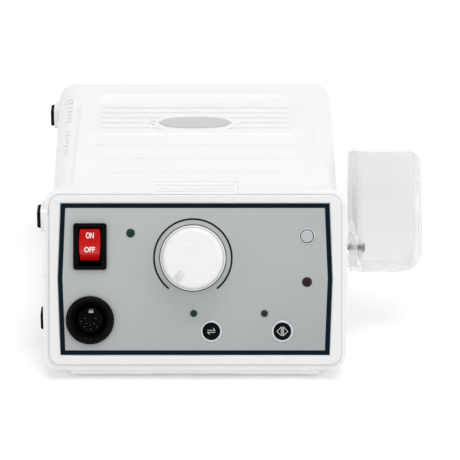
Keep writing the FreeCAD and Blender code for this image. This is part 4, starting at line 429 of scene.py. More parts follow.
# %% Finishes
white_shell = moulded("white_shell", (0.82, 0.825, 0.825), 0.42, grain=1500.0, depth=0.1, shift=0.012,
                      Specular_IOR_Level=0.35)
# The frame's white is a little darker than the shell's: painted shade, as its rim faces forward, away from
# the overhead light.
white_frame = moulded("white_frame", (0.755, 0.758, 0.758), 0.36, grain=1800.0, depth=0.07, shift=0.01,
                      Specular_IOR_Level=0.35)
silver_label = brushed("silver_label", (0.43, 0.447, 0.452), 0.42, contrast=0.07, Metallic=0.2,
                       Specular_IOR_Level=0.35, Coat_Weight=0.15, Coat_Roughness=0.28)
navy_print = moulded("navy_print", (0.0025, 0.009, 0.015), 0.4, grain=3000.0, depth=0.03,
                     Specular_IOR_Level=0.04)
black_print = moulded("black_print", (0.012, 0.014, 0.016), 0.5, grain=3000.0, depth=0.03,
                      Specular_IOR_Level=0.06)
white_print = moulded("white_print", (0.86, 0.86, 0.86), 0.45, grain=3000.0, depth=0.03)
knob_white = moulded("knob_white", (0.79, 0.8, 0.79), 0.24, grain=2500.0, depth=0.03, marks=0.05,
                     shift=0.008, Specular_IOR_Level=0.4, Coat_Weight=0.15, Coat_Roughness=0.12)
rocker_red = moulded("rocker_red", (0.46, 0.0025, 0.002), 0.2, grain=2600.0, depth=0.03, marks=0.06,
                     Specular_IOR_Level=0.12)
gloss_black = moulded("gloss_black", (0.0015, 0.0015, 0.0015), 0.12, grain=2600.0, depth=0.02, marks=0.05,
                      Specular_IOR_Level=0.06)
satin_black = moulded("satin_black", (0.002, 0.002, 0.002), 0.4, grain=2200.0, depth=0.08,
                      Specular_IOR_Level=0.04)
key_black = moulded("key_black", (0.002, 0.004, 0.005), 0.3, grain=2600.0, depth=0.05, marks=0.06,
                    Specular_IOR_Level=0.04)
# Near-black for two thin rings, the knob's and the reset key's: painted shade for the gaps round them.
felt_black = moulded("felt_black", (0.01, 0.01, 0.01), 0.9, grain=4200.0, depth=0.5, shift=0.3,
                     Specular_IOR_Level=0.04)
key_silver = moulded("key_silver", (0.45, 0.47, 0.48), 0.32, grain=2600.0, depth=0.04, Metallic=0.4)
pale_ring = moulded("pale_ring", (0.62, 0.64, 0.65), 0.22, grain=2600.0, depth=0.02, Metallic=0.5)
rubber = moulded("rubber", (0.004, 0.004, 0.004), 0.7, grain=1300.0, depth=0.25, shift=0.12,
                 Specular_IOR_Level=0.06)
badge_grey = brushed("badge_grey", (0.55, 0.56, 0.56), 0.34, contrast=0.06, Metallic=0.25)
steel = brushed("steel", (0.56, 0.56, 0.57), 0.3, contrast=0.2, Metallic=1.0)
dark_steel = brushed("dark_steel", (0.3, 0.28, 0.265), 0.32, contrast=0.2, Metallic=1.0)
zinc = brushed("zinc", (0.62, 0.62, 0.6), 0.36, contrast=0.25, Metallic=1.0)
brass = brushed("brass", (0.75, 0.56, 0.26), 0.26, contrast=0.15, Metallic=1.0)
copper = brushed("copper", (0.62, 0.27, 0.12), 0.34, contrast=0.3, fineness=4000.0, Metallic=1.0)
aluminium = brushed("aluminium", (0.66, 0.67, 0.68), 0.34, contrast=0.15, Metallic=1.0)
dark_iron = brushed("dark_iron", (0.09, 0.09, 0.1), 0.5, contrast=0.5, fineness=2600.0, Metallic=0.8)
green_board = moulded("green_board", (0.012, 0.09, 0.035), 0.35, grain=900.0, depth=0.2, shift=0.2)
print("materials", len(bpy.data.materials))

# %% [markdown]
# The label is painted darker towards its lower right corner: painted shade, standing for the dimmer
# reflection in its metal film there. A lamp could do that, but not for the label alone. So two ramps over
# the object's own width and height, added up, give the share of the painted shade.

# %% Painted shade on the label
RAMP_WIDTH = 57.0
RAMP_FOOT_Z = 16.2
SIDE_SHARE = 0.38


def paint_corner_shade(material, share):
    """Paints shade into a material's colour, darker towards the right and the bottom by up to a share."""
    wires = Wiring(material.node_tree)
    surface = material.node_tree.nodes["Principled BSDF"]
    colour = surface.inputs["Base Color"].links[0].from_socket
    spot = wires.node("SeparateXYZ")
    wires.link(wires.node("TexCoord").outputs["Object"], spot.inputs[0])
    sideways = wires.spread(spot.outputs["X"], middle_x, middle_x + RAMP_WIDTH * MM, 0.0, SIDE_SHARE)
    downwards = wires.spread(spot.outputs["Z"], PANEL_Z * MM, RAMP_FOOT_Z * MM, 0.0, 1 - SIDE_SHARE)
    dim = wires.node("Mix", data_type="RGBA", blend_type="MULTIPLY")
    wires.link(wires.math("ADD", sideways, downwards), dim.inputs[0])
    wires.link(colour, dim.inputs[MIX_FIRST])
    dim.inputs[MIX_SECOND].default_value = (1 - share, 1 - share, 1 - share, 1)
    wires.link(dim.outputs[MIX_RESULT], surface.inputs["Base Color"])


# Painted shade: the label's colour darkens towards its lower right corner.
paint_corner_shade(silver_label, 0.19)
print("label's material", len(silver_label.node_tree.nodes), "nodes")

# %% [markdown]
# The lamps are tinted domes that are dark when they are off: light enters, picks up the colour and comes
# back weakly, so a dark body under a thin clear coat does it. The cup is clear plastic, only very slightly
# rough and faintly grey. As full glass its thick walls would gather black lines that a real cup, lit from
# all round, doesn't show. So a part of the light passes straight through, which its alpha sets.

# %% Lamps and clear plastic
def lamp_dome(name, colour):
    """A dark tinted dome whose colour is a little uneven inside."""
    material, wires, surface = new_material(name, colour, 0.12, Specular_IOR_Level=0.12, Coat_Weight=0.1,
                                            Coat_Roughness=0.05)
    core = wires.noise(wires.node("TexCoord").outputs["Object"], 900.0)
    tinted(wires, surface, core, [value * 0.8 for value in colour], [value * 1.25 for value in colour])
    return material


green_lamp = lamp_dome("green_lamp", (0.006, 0.026, 0.02))
red_lamp = lamp_dome("red_lamp", (0.014, 0.007, 0.011))


def clear_plastic(name, colour, roughness, haze, bend, body):
    """Clear plastic with an uneven haze. Bend is its refraction, and body how much of it is there."""
    material, wires, surface = new_material(name, colour, roughness, Transmission_Weight=1.0, IOR=bend,
                                            Alpha=body)
    mottle = wires.noise(wires.node("TexCoord").outputs["Object"], 70.0)
    wires.link(wires.math("MULTIPLY_ADD", mottle, haze, roughness), surface.inputs["Roughness"])
    return material


clear_cup = clear_plastic("clear_cup", (0.75, 0.75, 0.75), 0.02, 0.03, 1.36, 0.6)
fuse_glass = clear_plastic("fuse_glass", (0.95, 0.97, 0.97), 0.01, 0.01, 1.49, 1.0)
print("materials with the lamps and the clear plastics", len(bpy.data.materials))

# %% [markdown]
# Every finished piece becomes an object that rides on one of the frame's bodies. The steps are always the
# same, so they are helpers.

# %% Helpers for pieces
def body_of(node):
    return frame["nodes"][node]["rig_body"]


def slot_of(node):
    """The record's material slot of a node."""
    for row in frame["record"]["subparts"]:
        if row["node"] == node:
            return row["material_slot"]
    return ""


def add_piece(name, mesh, body, material=None):
    """Makes an object of a finished mesh and lets it ride on a body."""
    piece = bpy.data.objects.new(name, mesh)
    scene.collection.objects.link(piece)
    if material:
        mesh.materials.clear()
        mesh.materials.append(material)
    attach(piece, body)
    return piece


def mesh_from(name, shape):
    """Turns a bmesh into a mesh and frees it."""
    mesh = bpy.data.meshes.new(name)
    shape.to_mesh(mesh)
    shape.free()
    return mesh


def paint(material, *nodes):
    """Gives construction nodes a finish and leaves their shape alone."""
    for node in nodes:
        mesh = frame["nodes"][node].data
        mesh.materials.clear()
        mesh.materials.append(material)


print("bodies to ride on", sorted({body_of(name) for name in frame["nodes"]}))

# %% [markdown]
# A moulded or turned piece has no knife edges: each outer edge is rounded a little, and that fine rounding
# catches the light. Shading alone could fake it, but the outline would stay sharp. So a construction node's
# mesh is copied, its doubled points are merged, its flat faces are joined up, and a narrow bevel rounds the
# edges that turn sharply outwards. Long edges are first cut into short runs, so that no splinter of a face
# runs along them, and each edge gets a weight, so that a thin rib's bevel is no wider than it can take.

# %% Rounded edges
MERGE = 5e-6  # points closer than this, in metres, are one point
FLAT = 0.001  # faces that turn by less than this, in radians, are one face
MOST_CUTS = 24
ROOM_SHARE = 0.42
WEIGHT_STEP = 0.2


def round_edges(piece, width, angle=30.0, segments=2, by_weight=False):
    """A live bevel on the sharp edges, with smooth shading that follows the faces."""
    bevel = piece.modifiers.new("soft_edges", "BEVEL")
    bevel.width = width * MM
    bevel.segments = segments
    bevel.limit_method = "WEIGHT" if by_weight else "ANGLE"
    bevel.angle_limit = math.radians(angle)
    bevel.use_clamp_overlap = False
    bevel.loop_slide = False
    weigh = piece.modifiers.new("even_normals", "WEIGHTED_NORMAL")
    weigh.keep_sharp = False
    for face in piece.data.polygons:
        face.use_smooth = True


def bends(edge, angle):
    """Whether the surface turns outwards at an edge by more than an angle."""
    return len(edge.link_faces) == 2 and edge.is_convex and edge.calc_face_angle() > math.radians(angle)


def cut_runs(shape, angle, run):
    """Cuts long sharp edges into short runs and fills the flat faces with well-shaped triangles."""
    cuts = {}
    for edge in shape.edges:
        parts = math.ceil(edge.calc_length() / (run * MM))
        if parts > 1 and len(edge.link_faces) == 2 and edge.calc_face_angle() > math.radians(angle):
            cuts.setdefault(min(parts, MOST_CUTS), []).append(edge)
    for parts, edges in cuts.items():
        bmesh.ops.bisect_edges(shape, edges=edges, cuts=parts - 1)
    bmesh.ops.triangulate(shape, faces=[face for face in shape.faces if len(face.verts) > 4])
    flat = [edge for edge in shape.edges if len(edge.link_faces) == 2 and edge.calc_face_angle() < FLAT]
    bmesh.ops.beautify_fill(shape, faces=shape.faces, edges=flat, method="ANGLE")


def weigh_edges(shape, width, angle):
    """Gives each outward edge a bevel weight that its faces have room for, and evens the weights out."""
    weights = shape.edges.layers.float.new("bevel_weight_edge")
    chosen = [edge for edge in shape.edges if bends(edge, angle)]
    for edge in chosen:
        start = edge.verts[0].co
        along = (edge.verts[1].co - start).normalized()
        rooms = [max((vert.co - start).cross(along).length for vert in face.verts)
                 for face in edge.link_faces]
        edge[weights] = min(1.0, ROOM_SHARE * min(rooms) / (width * MM))
    for turn in range(6):
        for edge in chosen:
            beside = [other[weights] for vert in edge.verts for other in vert.link_edges
                      if other is not edge and bends(other, angle)]
            if beside:
                edge[weights] = min(edge[weights], min(beside) + WEIGHT_STEP)


def dress(node, material, width=0.2, angle=30.0, segments=2, run=4.0):
    """A piece that replaces a node with the same shape, rounded at its edges."""
    shape = bmesh.new()
    shape.from_mesh(frame["nodes"][node].data)
    bmesh.ops.remove_doubles(shape, verts=shape.verts, dist=MERGE)
    bmesh.ops.dissolve_limit(shape, angle_limit=math.radians(0.3), verts=shape.verts, edges=shape.edges)
    cut_runs(shape, angle, run)
    weigh_edges(shape, width, angle)
    mesh = mesh_from(f"{node}_dressed", shape)
    piece = add_piece(f"{node}_dressed", mesh, body_of(node), material)
    round_edges(piece, width, angle, segments, by_weight=True)
    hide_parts(node)
    return piece


print("weights go up by at most", WEIGHT_STEP, "from edge to edge")

# %% [markdown]
# The two housing shells and the front frame are the large white mouldings. Their shape could be sculpted
# here, but the construction model already holds it with its walls, so they keep it. Their edges are
# rounded by a quarter of a millimetre or so, as a mould's would be.

# %% Housing
for node in ("upper_housing", "lower_housing"):
    shell = dress(node, white_shell, 0.3)
    print(shell.name, len(shell.data.polygons), "faces")
dress("front_frame", white_frame, 0.2)
dress("badge_plate", badge_grey, 0.12)
dress("base_feet", rubber, 0.2)
dress("side_feet", rubber, 0.2)
dress("holder_spacer", white_shell, 0.2)

# %% [markdown]
# The label is a thin silver plate with a dark printed border. The border could be a mask in the label's
# material, but a band of real faces keeps its corners sharp however close the camera comes. It runs along
# the label's six-sided outline, a few hundredths of a millimetre above it, as a printed film does.

# %% Label and its border
paint(silver_label, "control_panel")
LABEL_ENDS = 61.0
LABEL_KINK = 62.3
LABEL_TOP = 24.8
LABEL_KINK_UP = -9.2
LABEL_LOW = -44.0
FILM_EDGE = 0.05
BORDER = 2.1
PRINT_RISE = 0.04


def inset_outline(inset):
    """The label's outline, drawn in by an even distance."""
    ends, kink = LABEL_ENDS - inset, LABEL_KINK - inset
    top, low = LABEL_TOP - inset, LABEL_LOW + inset
    return [(-ends, low), (ends, low), (kink, LABEL_KINK_UP),
            (ends, top), (-ends, top), (-kink, LABEL_KINK_UP)]


def print_band(name, outer, inner, level, matrix, body, material, closed=True):
    """A flat ribbon between two outlines with the same number of points."""
    shape = bmesh.new()
    rows = [[shape.verts.new(matrix @ Vector((x, y, level))) for x, y in line] for line in (outer, inner)]
    count = len(outer)
    for step in range(count if closed else count - 1):
        after = (step + 1) % count
        shape.faces.new((rows[0][step], rows[0][after], rows[1][after], rows[1][step]))
    bmesh.ops.recalc_face_normals(shape, faces=shape.faces)
    outward = matrix.to_3x3() @ Vector((0, 0, 1))
    if sum(face.normal.dot(outward) for face in shape.faces) < 0:
        bmesh.ops.reverse_faces(shape, faces=shape.faces)
    return add_piece(name, mesh_from(name, shape), body, material)


border = print_band("panel_border", inset_outline(FILM_EDGE), inset_outline(BORDER), PRINT_RISE, ON_PANEL,
                    "case", navy_print)
print(border.name, len(border.data.polygons), "faces")

# %% [markdown]
# A thin printed arc runs round the speed knob and stops where its travel stops, 38 degrees either side of
# straight down. It is printed like the border, so it is made in the same way, from points on two circles.

# %% Arc round the knob
KNOB_X = -1.0
ARC_OUTER = 18.1
ARC_WIDTH = 0.88
ARC_GAP = 38.0
ARC_STEPS = 96


def arc_points(radius):
    """Points on a circle round the knob, open at the bottom by the gap on each side."""
    points = []
    for step in range(ARC_STEPS + 1):
        turn = math.radians(-90 + ARC_GAP + (360 - 2 * ARC_GAP) * step / ARC_STEPS)
        points.append((KNOB_X + radius * math.cos(turn), radius * math.sin(turn)))
    return points


arc = print_band("speed_arc", arc_points(ARC_OUTER), arc_points(ARC_OUTER - ARC_WIDTH), PRINT_RISE, ON_PANEL,
                 "case", black_print, closed=False)
print(arc.name, len(arc.data.polygons), "faces")

# %% [markdown]
# Small parts that repeat, such as screws and pins, could be drawn once and copied by a loop. Geometry Nodes
# make them here, because a tree keeps its sizes as inputs that anyone can change: the tree describes the
# part, and a few loose points say where the copies go. Its result is then kept as a plain mesh, because the
# finished model carries no modifiers of this kind.

# %% Helpers for Geometry Nodes
TOP_BAND = 0.01  # points this near the top of a rod belong to its upper end


class Growing(Wiring):
    """A geometry tree with named sizes, one finish and its points as inputs."""

    def __init__(self, name, sizes):
        super().__init__(bpy.data.node_groups.new(name, "GeometryNodeTree"))
        face = self.tree.interface
        face.new_socket("Points", in_out="INPUT", socket_type="NodeSocketGeometry")
        face.new_socket("Finish", in_out="INPUT", socket_type="NodeSocketMaterial")
        for label, value in sizes.items():
            socket = face.new_socket(label, in_out="INPUT", socket_type="NodeSocketFloat")
            socket.default_value = value
        face.new_socket("Mesh", in_out="OUTPUT", socket_type="NodeSocketGeometry")
        self.given = self.tree.nodes.new("NodeGroupInput").outputs

    def make(self, kind, feeds, **settings):
        """A geometry node with its inputs set or linked."""
        item = self.tree.nodes.new("GeometryNode" + kind)
        for name, value in settings.items():
            setattr(item, name, value)
        for label, value in feeds.items():
            self.feed(value, item.inputs[label])
        return item

    def vector(self, x=0.0, y=0.0, z=0.0):
        item = self.node("CombineXYZ")
        for value, target in zip((x, y, z), item.inputs):
            self.feed(value, target)
        return item.outputs[0]

    def moved(self, mesh, place):
        return self.make("Transform", {"Geometry": mesh, "Translation": place}).outputs[0]

    def rod(self, radius, length, sides, rings=1):
        """A closed round rod, centred, whose ends are split into rings."""
        feeds = {"Vertices": sides, "Fill Segments": rings, "Radius": radius, "Depth": length}
        return self.make("MeshCylinder", feeds, fill_type="TRIANGLE_FAN").outputs["Mesh"]

    def domed(self, mesh, radius, top, drop):
        """Lowers a rod's upper end towards its rim, so that it is a dome."""
        spot = self.node("SeparateXYZ")
        self.link(self.make("InputPosition", {}).outputs[0], spot.inputs[0])
        across, deep = (self.math("POWER", spot.outputs[axis], 2.0) for axis in (0, 1))
        share = self.math("DIVIDE", self.math("ADD", across, deep), self.math("MULTIPLY", radius, radius))
        upper = self.math("GREATER_THAN", spot.outputs[2], self.math("SUBTRACT", top, TOP_BAND))
        fall = self.vector(z=self.math("MULTIPLY", self.math("MULTIPLY", share, drop), -1.0))
        return self.make("SetPosition", {"Geometry": mesh, "Selection": upper, "Offset": fall}).outputs[0]

    def finish(self, mesh, turn=None):
        """Copies a mesh to the points, makes the copies real and gives them the finish."""
        feeds = {"Points": self.given["Points"], "Instance": mesh}
        if turn is not None:
            feeds["Rotation"] = turn
        copies = self.make("InstanceOnPoints", feeds).outputs[0]
        real = self.make("RealizeInstances", {"Geometry": copies}).outputs[0]
        painted = self.make("SetMaterial", {"Geometry": real, "Material": self.given["Finish"]}).outputs[0]
        self.link(painted, self.tree.nodes.new("NodeGroupOutput").inputs["Mesh"])
        return self.tree


def grow(name, tree, spots, matrix, body, slot, **sizes):
    """Runs a tree on points and keeps the result as a plain mesh, laid in place by a matrix."""
    seeds = bpy.data.meshes.new(f"{name}_spots")
    seeds.from_pydata(spots, [], [])
    maker = bpy.data.objects.new(f"{name}_maker", seeds)
    scene.collection.objects.link(maker)
    growth = maker.modifiers.new("growth", "NODES")
    growth.node_group = tree
    for socket in tree.interface.items_tree:
        label = socket.name.replace(" ", "_")
        if socket.in_out == "INPUT" and label in sizes:
            growth[socket.identifier] = sizes[label]
    ready = maker.evaluated_get(bpy.context.evaluated_depsgraph_get())
    mesh = bpy.data.meshes.new_from_object(ready)
    maker.modifiers.remove(growth)
    bpy.data.objects.remove(maker)
    mesh.name = name
    mesh.transform(matrix)
    print(name, len(spots), "copies,", len(mesh.polygons), "faces")
    return add_piece(name, mesh, body)


print("helper:", Growing.__doc__)

# %% [markdown]
# The base is held by four cross-head screws that sit deep in wells under the housing, and a fifth screw
# holds the cup. They could be turned as one profile, but the cross would still have to be cut. So one tree
# makes them all: a rod for the shank, a low domed head, and two crossed bars that are cut out of it. A
# random turn about its axis, with a fixed seed, sets each screw as a hand would leave it.

# %% Cross-head screws
OVERLAP = 0.3
DOME_SHARE = 0.4
BAR_SHARE = 1.25
QUARTER_TURN = 1.57
TURN_SEED = 7
screw_sizes = {"Head Radius": 3.1, "Head Height": 2.2, "Shank Radius": 1.6, "Shank Length": 26.0,
               "Cross": 0.8}
screws = Growing("cross_head_screws", screw_sizes)
head_radius, head_height = screws.given["Head Radius"], screws.given["Head Height"]
shank_length = screws.given["Shank Length"]
half_height = screws.math("MULTIPLY", head_height, 0.5)
head = screws.moved(screws.rod(head_radius, head_height, 32, 4), screws.vector(z=half_height))
head = screws.domed(head, head_radius, head_height, screws.math("MULTIPLY", head_height, DOME_SHARE))
shank = screws.rod(screws.given["Shank Radius"], screws.math("ADD", shank_length, OVERLAP), 24)
shank = screws.moved(shank, screws.vector(z=screws.math("MULTIPLY_ADD", shank_length, -0.5, OVERLAP / 2)))
whole = screws.make("MeshBoolean", {}, operation="UNION", solver="EXACT")
for part in (head, shank):
    screws.link(part, whole.inputs["Mesh 2"])
long_side = screws.math("MULTIPLY", head_radius, BAR_SHARE)
cut = screws.make("MeshBoolean", {"Mesh 1": whole.outputs["Mesh"]}, operation="DIFFERENCE", solver="EXACT")
for size in (screws.vector(long_side, screws.given["Cross"], head_height),
             screws.vector(screws.given["Cross"], long_side, head_height)):
    bar = screws.make("MeshCube", {"Size": size}).outputs["Mesh"]
    screws.link(screws.moved(bar, screws.vector(z=head_height)), cut.inputs["Mesh 2"])
chance = screws.tree.nodes.new("FunctionNodeRandomValue")
chance.data_type = "FLOAT"
chance.inputs["Seed"].default_value = TURN_SEED
angle = [item for item in chance.outputs if item.enabled][0]
left_as = screws.vector(z=screws.math("MULTIPLY", angle, QUARTER_TURN))
cross_head_screws = screws.finish(cut.outputs["Mesh"], left_as)
print("tree", cross_head_screws.name, len(cross_head_screws.nodes), "nodes")

# %% [markdown]
# The four wells lie under the corners of the housing. The points are drawn from below, so a matrix that
# turns them over lays them in the frame. The fifth screw comes later, with the cup.

# %% Screws of the base
SCREW_SEAT_Z = 30.0
WELL_X = 48.0
WELLS_Y = (26.0, -55.0)
SCREW_EDGE = 0.08
SHARP = 35.0
under = IN_ROW @ Matrix.Translation((0, 0, SCREW_SEAT_Z)) @ Matrix.Rotation(math.pi, 4, "X")
wells = [(x, y, 0) for x in (-WELL_X, WELL_X) for y in WELLS_Y]
base_screws = grow("base_screws", cross_head_screws, wells, under, "case", slot_of("housing_screws"),
                   Finish=steel)
round_edges(base_screws, SCREW_EDGE, SHARP)
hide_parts("housing_screws")

# %% [markdown]
# The speed knob is a turned white cap with a thin skirt. Its pointer is a sloping flat cut into the edge.
# Its shape comes from the frame, and here it only gets its finish and its fine edges. A thin near-black ring
# on the label under it is painted shade: it stands for the shadow gap round the knob's foot. A printed line
# would look flat from the side, so the ring is turned from a small profile.

# %% Speed knob
TURNING_STEPS = 72


def turned(name, profile, matrix):
    """A ring made by turning a closed profile of (radius, height) points about an axis."""
    shape = bmesh.new()
    rows = []
    for step in range(TURNING_STEPS):
        turn = 2 * math.pi * step / TURNING_STEPS
        rows.append([shape.verts.new(matrix @ Vector((r * math.cos(turn), r * math.sin(turn), z)))
                     for r, z in profile])
    for row, beside in zip(rows, rows[1:] + rows[:1]):
        for step in range(len(profile)):
            after = (step + 1) % len(profile)
            shape.faces.new((row[step], beside[step], beside[after], row[after]))
    bmesh.ops.recalc_face_normals(shape, faces=shape.faces)
    return mesh_from(name, shape)


dress("speed_knob", knob_white, 0.25, segments=3)
# A near-black ring under the knob's foot: painted shade for the gap between knob and label.
shade_ring_profile = [(13.2, 0.02), (15.1, 0.02), (15.25, 0.12), (15.25, 0.3), (15.1, 0.4), (13.2, 0.4)]
knob_shade_mesh = turned("knob_felt", shade_ring_profile, panel_spot(KNOB_X, 0))
add_piece("knob_felt", knob_shade_mesh, "case", felt_black)
paint(aluminium, "potentiometer_shaft")
paint(steel, "potentiometer_body", "potentiometer_nut")
print("painted shade ring", len(knob_shade_mesh.polygons), "faces")

# %% [markdown]
# The rocker of the switch has barrel-shaped sides and a hollow face. The construction model has straight
# sides, which is enough there. It could be sculpted from a block, but a rule describes it better: one
# profile along its length, repeated across its width, which swells towards the middle. The last rows at
# each side shrink in, so that the long edges are round.

# %% Rocker
SWITCH_X = -47.7
SWITCH_UP = 5.2
ROCKER_AXIS = 4.5
ROCKER_LEAN = math.radians(15.0)
ROCKER_WIDE = 9.75
ROCKER_NARROW = 8.7
ROCKER_ENDS = 7.0
FACE_HALF = 5.75
FACE_HIGH = 8.0
FACE_HOLLOW = 0.62
FACE_STEPS = 12
IN_ROCKER = panel_spot(SWITCH_X, SWITCH_UP, -ROCKER_AXIS) @ Matrix.Rotation(-ROCKER_LEAN, 4, "X")


def face_height(along):
    """The rocker's hollow face above its axis."""
    share = along / FACE_HALF
    return FACE_HIGH - FACE_HOLLOW * (1 - share * share)


def rocker_profile():
    """The rocker from the side, along its length and out of the panel, from below round to above."""
    places = [FACE_HALF * (step / FACE_STEPS - 1) for step in range(2 * FACE_STEPS + 1)]
    points = [(along, face_height(along)) for along in places]
    corner = [(6.05, 7.75), (6.35, 7.2), (7.55, 4.4), (7.4, 3.5), (3.6, -3.6)]
    lower = [(-x, y) for x, y in reversed(corner)]
    return points + corner + lower


def swell(along):
    """Half the rocker's width at a place along its length."""
    share = min(1.0, abs(along) / ROCKER_ENDS)
    return (ROCKER_WIDE + (ROCKER_NARROW - ROCKER_WIDE) * share * share) / 2


profile = rocker_profile()
shape = bmesh.new()
rows = []
for across, shrink in ((-1, 0.35), (-0.985, 0.12), (-0.95, 0), (0, 0), (0.95, 0), (0.985, 0.12), (1, 0.35)):
    row = []
    for along, out in profile:
        pull = 1 - shrink / max(1.0, math.hypot(along, out))
        spot = Vector((across * swell(along), along * pull, out * pull))
        row.append(shape.verts.new(IN_ROCKER @ spot))
    rows.append(row)
count = len(profile)
for low, high in zip(rows, rows[1:]):
    for step in range(count):
        after = (step + 1) % count
        shape.faces.new((low[step], low[after], high[after], high[step]))
shape.faces.new(rows[0])
shape.faces.new(rows[-1])
bmesh.ops.recalc_face_normals(shape, faces=shape.faces)
rocker = add_piece("rocker_cap", mesh_from("rocker_cap", shape), "rocker", rocker_red)
round_edges(rocker, 0.12, 35.0)
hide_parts("power_switch_rocker")
dress("power_switch_frame", satin_black, 0.15)
paint(brass, "power_switch_blades")
print("rocker", len(rocker.data.polygons), "faces")

# %% [markdown]
# The two words on the rocker are printed in white, a few hundredths of a millimetre proud. A mask could
# paint them on, but real letters have clean edges. Text is a curve object, so it is made a mesh first and
# then laid on the rocker's hollow face, point by point.

# %% Words on the rocker
LETTER_TOP = 0.06
LETTER_FOOT = -0.05


def word_mesh(name, word, tall, wide):
    """A word as a flat mesh, scaled to a height and width and centred on its own middle."""
    curve = bpy.data.curves.new(name, "FONT")
    curve.body = word
    curve.extrude = 0.05
    curve.offset = 0.016
    curve.resolution_u = 4
    text = bpy.data.objects.new(name, curve)
    scene.collection.objects.link(text)
    mesh = bpy.data.meshes.new_from_object(text.evaluated_get(bpy.context.evaluated_depsgraph_get()))
    bpy.data.objects.remove(text)
    xs = [vertex.co.x for vertex in mesh.vertices]
    ys = [vertex.co.y for vertex in mesh.vertices]
    middle = Vector(((min(xs) + max(xs)) / 2, (min(ys) + max(ys)) / 2, 0))
    mesh.transform(Matrix.Translation(-middle))
    mesh.transform(Matrix.Diagonal((wide / (max(xs) - min(xs)), tall / (max(ys) - min(ys)), 1, 1)))
    return mesh


for word, up, tall, wide in (("ON", 3.15, 2.75, 3.6), ("OFF", -3.5, 2.6, 4.8)):
    mesh = word_mesh(f"word_{word.lower()}", word, tall, wide)
    for vertex in mesh.vertices:
        along = vertex.co.y + up
        rise = LETTER_TOP if vertex.co.z > 0 else LETTER_FOOT
        vertex.co = IN_ROCKER @ Vector((vertex.co.x, along, face_height(along) + rise))
    add_piece(f"word_{word.lower()}", mesh, "rocker", white_print)
    print(word, len(mesh.polygons), "faces")

# %% [markdown]
# Each key is a low turned button in a pale ring. Their shapes come from the frame, where each key has a
# body of its own that can be pressed, so they only get their finish and their fine edges.

# %% Keys and rings
for node, finish in (("hand_foot_button", key_black), ("direction_button", key_black),
                     ("reset_button", key_silver)):
    key = dress(node, finish, 0.15)
    print(key.name, "rides on", body_of(node))
dress("key_rings", pale_ring, 0.12)
paint(satin_black, "tact_switches")

# %% [markdown]
# The direction key carries its sign in white, two open triangles with a bar between them, and the key
# beside it a plain two-way sign of the same make. Each line of a sign is a flat ribbon with mitred corners,
# which needs fewer faces than a bent tube and lies on the key as print does.

# %% Signs on the keys
KEY_FACE = 0.9
KEY_UP = -33.25
MODE_X = 7.35
TURN_X = 39.6
LINE = 0.18
SHARPEST = 0.4


def stroke(points, closed=False):
    """The two edges of a line of even width along points, with mitred corners."""
    count = len(points)
    outer, inner = [], []
    for index, point in enumerate(points):
        before = points[index - 1] if closed or index else None
        after = points[(index + 1) % count] if closed or index < count - 1 else None
        arms = []
        if before is not None:
            arms.append((Vector(point) - Vector(before)).normalized())
        if after is not None:
            arms.append((Vector(after) - Vector(point)).normalized())
        along = sum(arms, Vector((0, 0))).normalized()
        side = Vector((-along.y, along.x))
        miter = 1 / max(SHARPEST, side.dot(Vector((-arms[0].y, arms[0].x))))
        outer.append(tuple(Vector(point) + side * miter * LINE / 2))
        inner.append(tuple(Vector(point) - side * miter * LINE / 2))
    return outer, inner


def sign(name, x, body, lines):
    """White lines printed on a key's face."""
    for number, (points, closed) in enumerate(lines):
        outer, inner = stroke(points, closed)
        print_band(f"{name}_{number}", outer, inner, KEY_FACE + PRINT_RISE, panel_spot(x, KEY_UP), body,
                   white_print, closed)


triangle = [(0.55, 1.95), (2.5, 0), (0.55, -1.95)]
mirrored = [(-x, y) for x, y in triangle]
bar_line = [(0, 2.1), (0, -2.1)]
sign("direction_sign", TURN_X, "direction_key", [(triangle, True), (mirrored, True), (bar_line, False)])
arrow_up = [(-1.7, 0.45), (1.7, 0.45), (0.75, 1.45)]
arrow_down = [(1.7, -0.45), (-1.7, -0.45), (-0.75, -1.45)]
sign("mode_sign", MODE_X, "mode_key", [(arrow_up, False), (arrow_down, False)])

# %% [markdown]
# A thin dark band between the reset key and its ring is painted shade, standing for the shadow in the gap
# there. It is a line of a quarter of a millimetre, so a flat band does for it.

# %% Painted shade round the reset key
RESET_X = 50.8
RESET_UP = 9.85
RING_FACE = 0.35
SHADE_OUTER = 3.2
SHADE_INNER = 2.95


def ring_points(radius, steps=48):
    """Points at even steps round a circle."""
    turns = [2 * math.pi * step / steps for step in range(steps)]
    return [(radius * math.cos(turn), radius * math.sin(turn)) for turn in turns]


# A near-black band round the reset key: painted shade for the gap between key and ring.
reset_shade_piece = print_band("reset_seal", ring_points(SHADE_OUTER), ring_points(SHADE_INNER), RING_FACE + PRINT_RISE,
                  panel_spot(RESET_X, RESET_UP), "case", felt_black)
print(reset_shade_piece.name, len(reset_shade_piece.data.polygons), "faces")

# %% [markdown]
# The lamps are small domes in the label. Three are green and the overload lamp is red. They are off, as the
# rest of the box is, so nothing in them glows, and their shape stays the frame's.

# %% Lamps
for node, finish in (("power_lamp", green_lamp), ("hand_foot_lamp", green_lamp),
                     ("direction_lamp", green_lamp), ("overload_lamp", red_lamp)):
    lamp = dress(node, finish, 0.08)
    print(lamp.name, len(lamp.data.polygons), "faces")

# %% [markdown]
# The socket is a glossy black turned shell with a contact insert set deep in it. Ten short round-ended pins
# stand in the insert on two open rings. The frame has them as plain rods, and a second tree makes them anew
# with their domed tips.

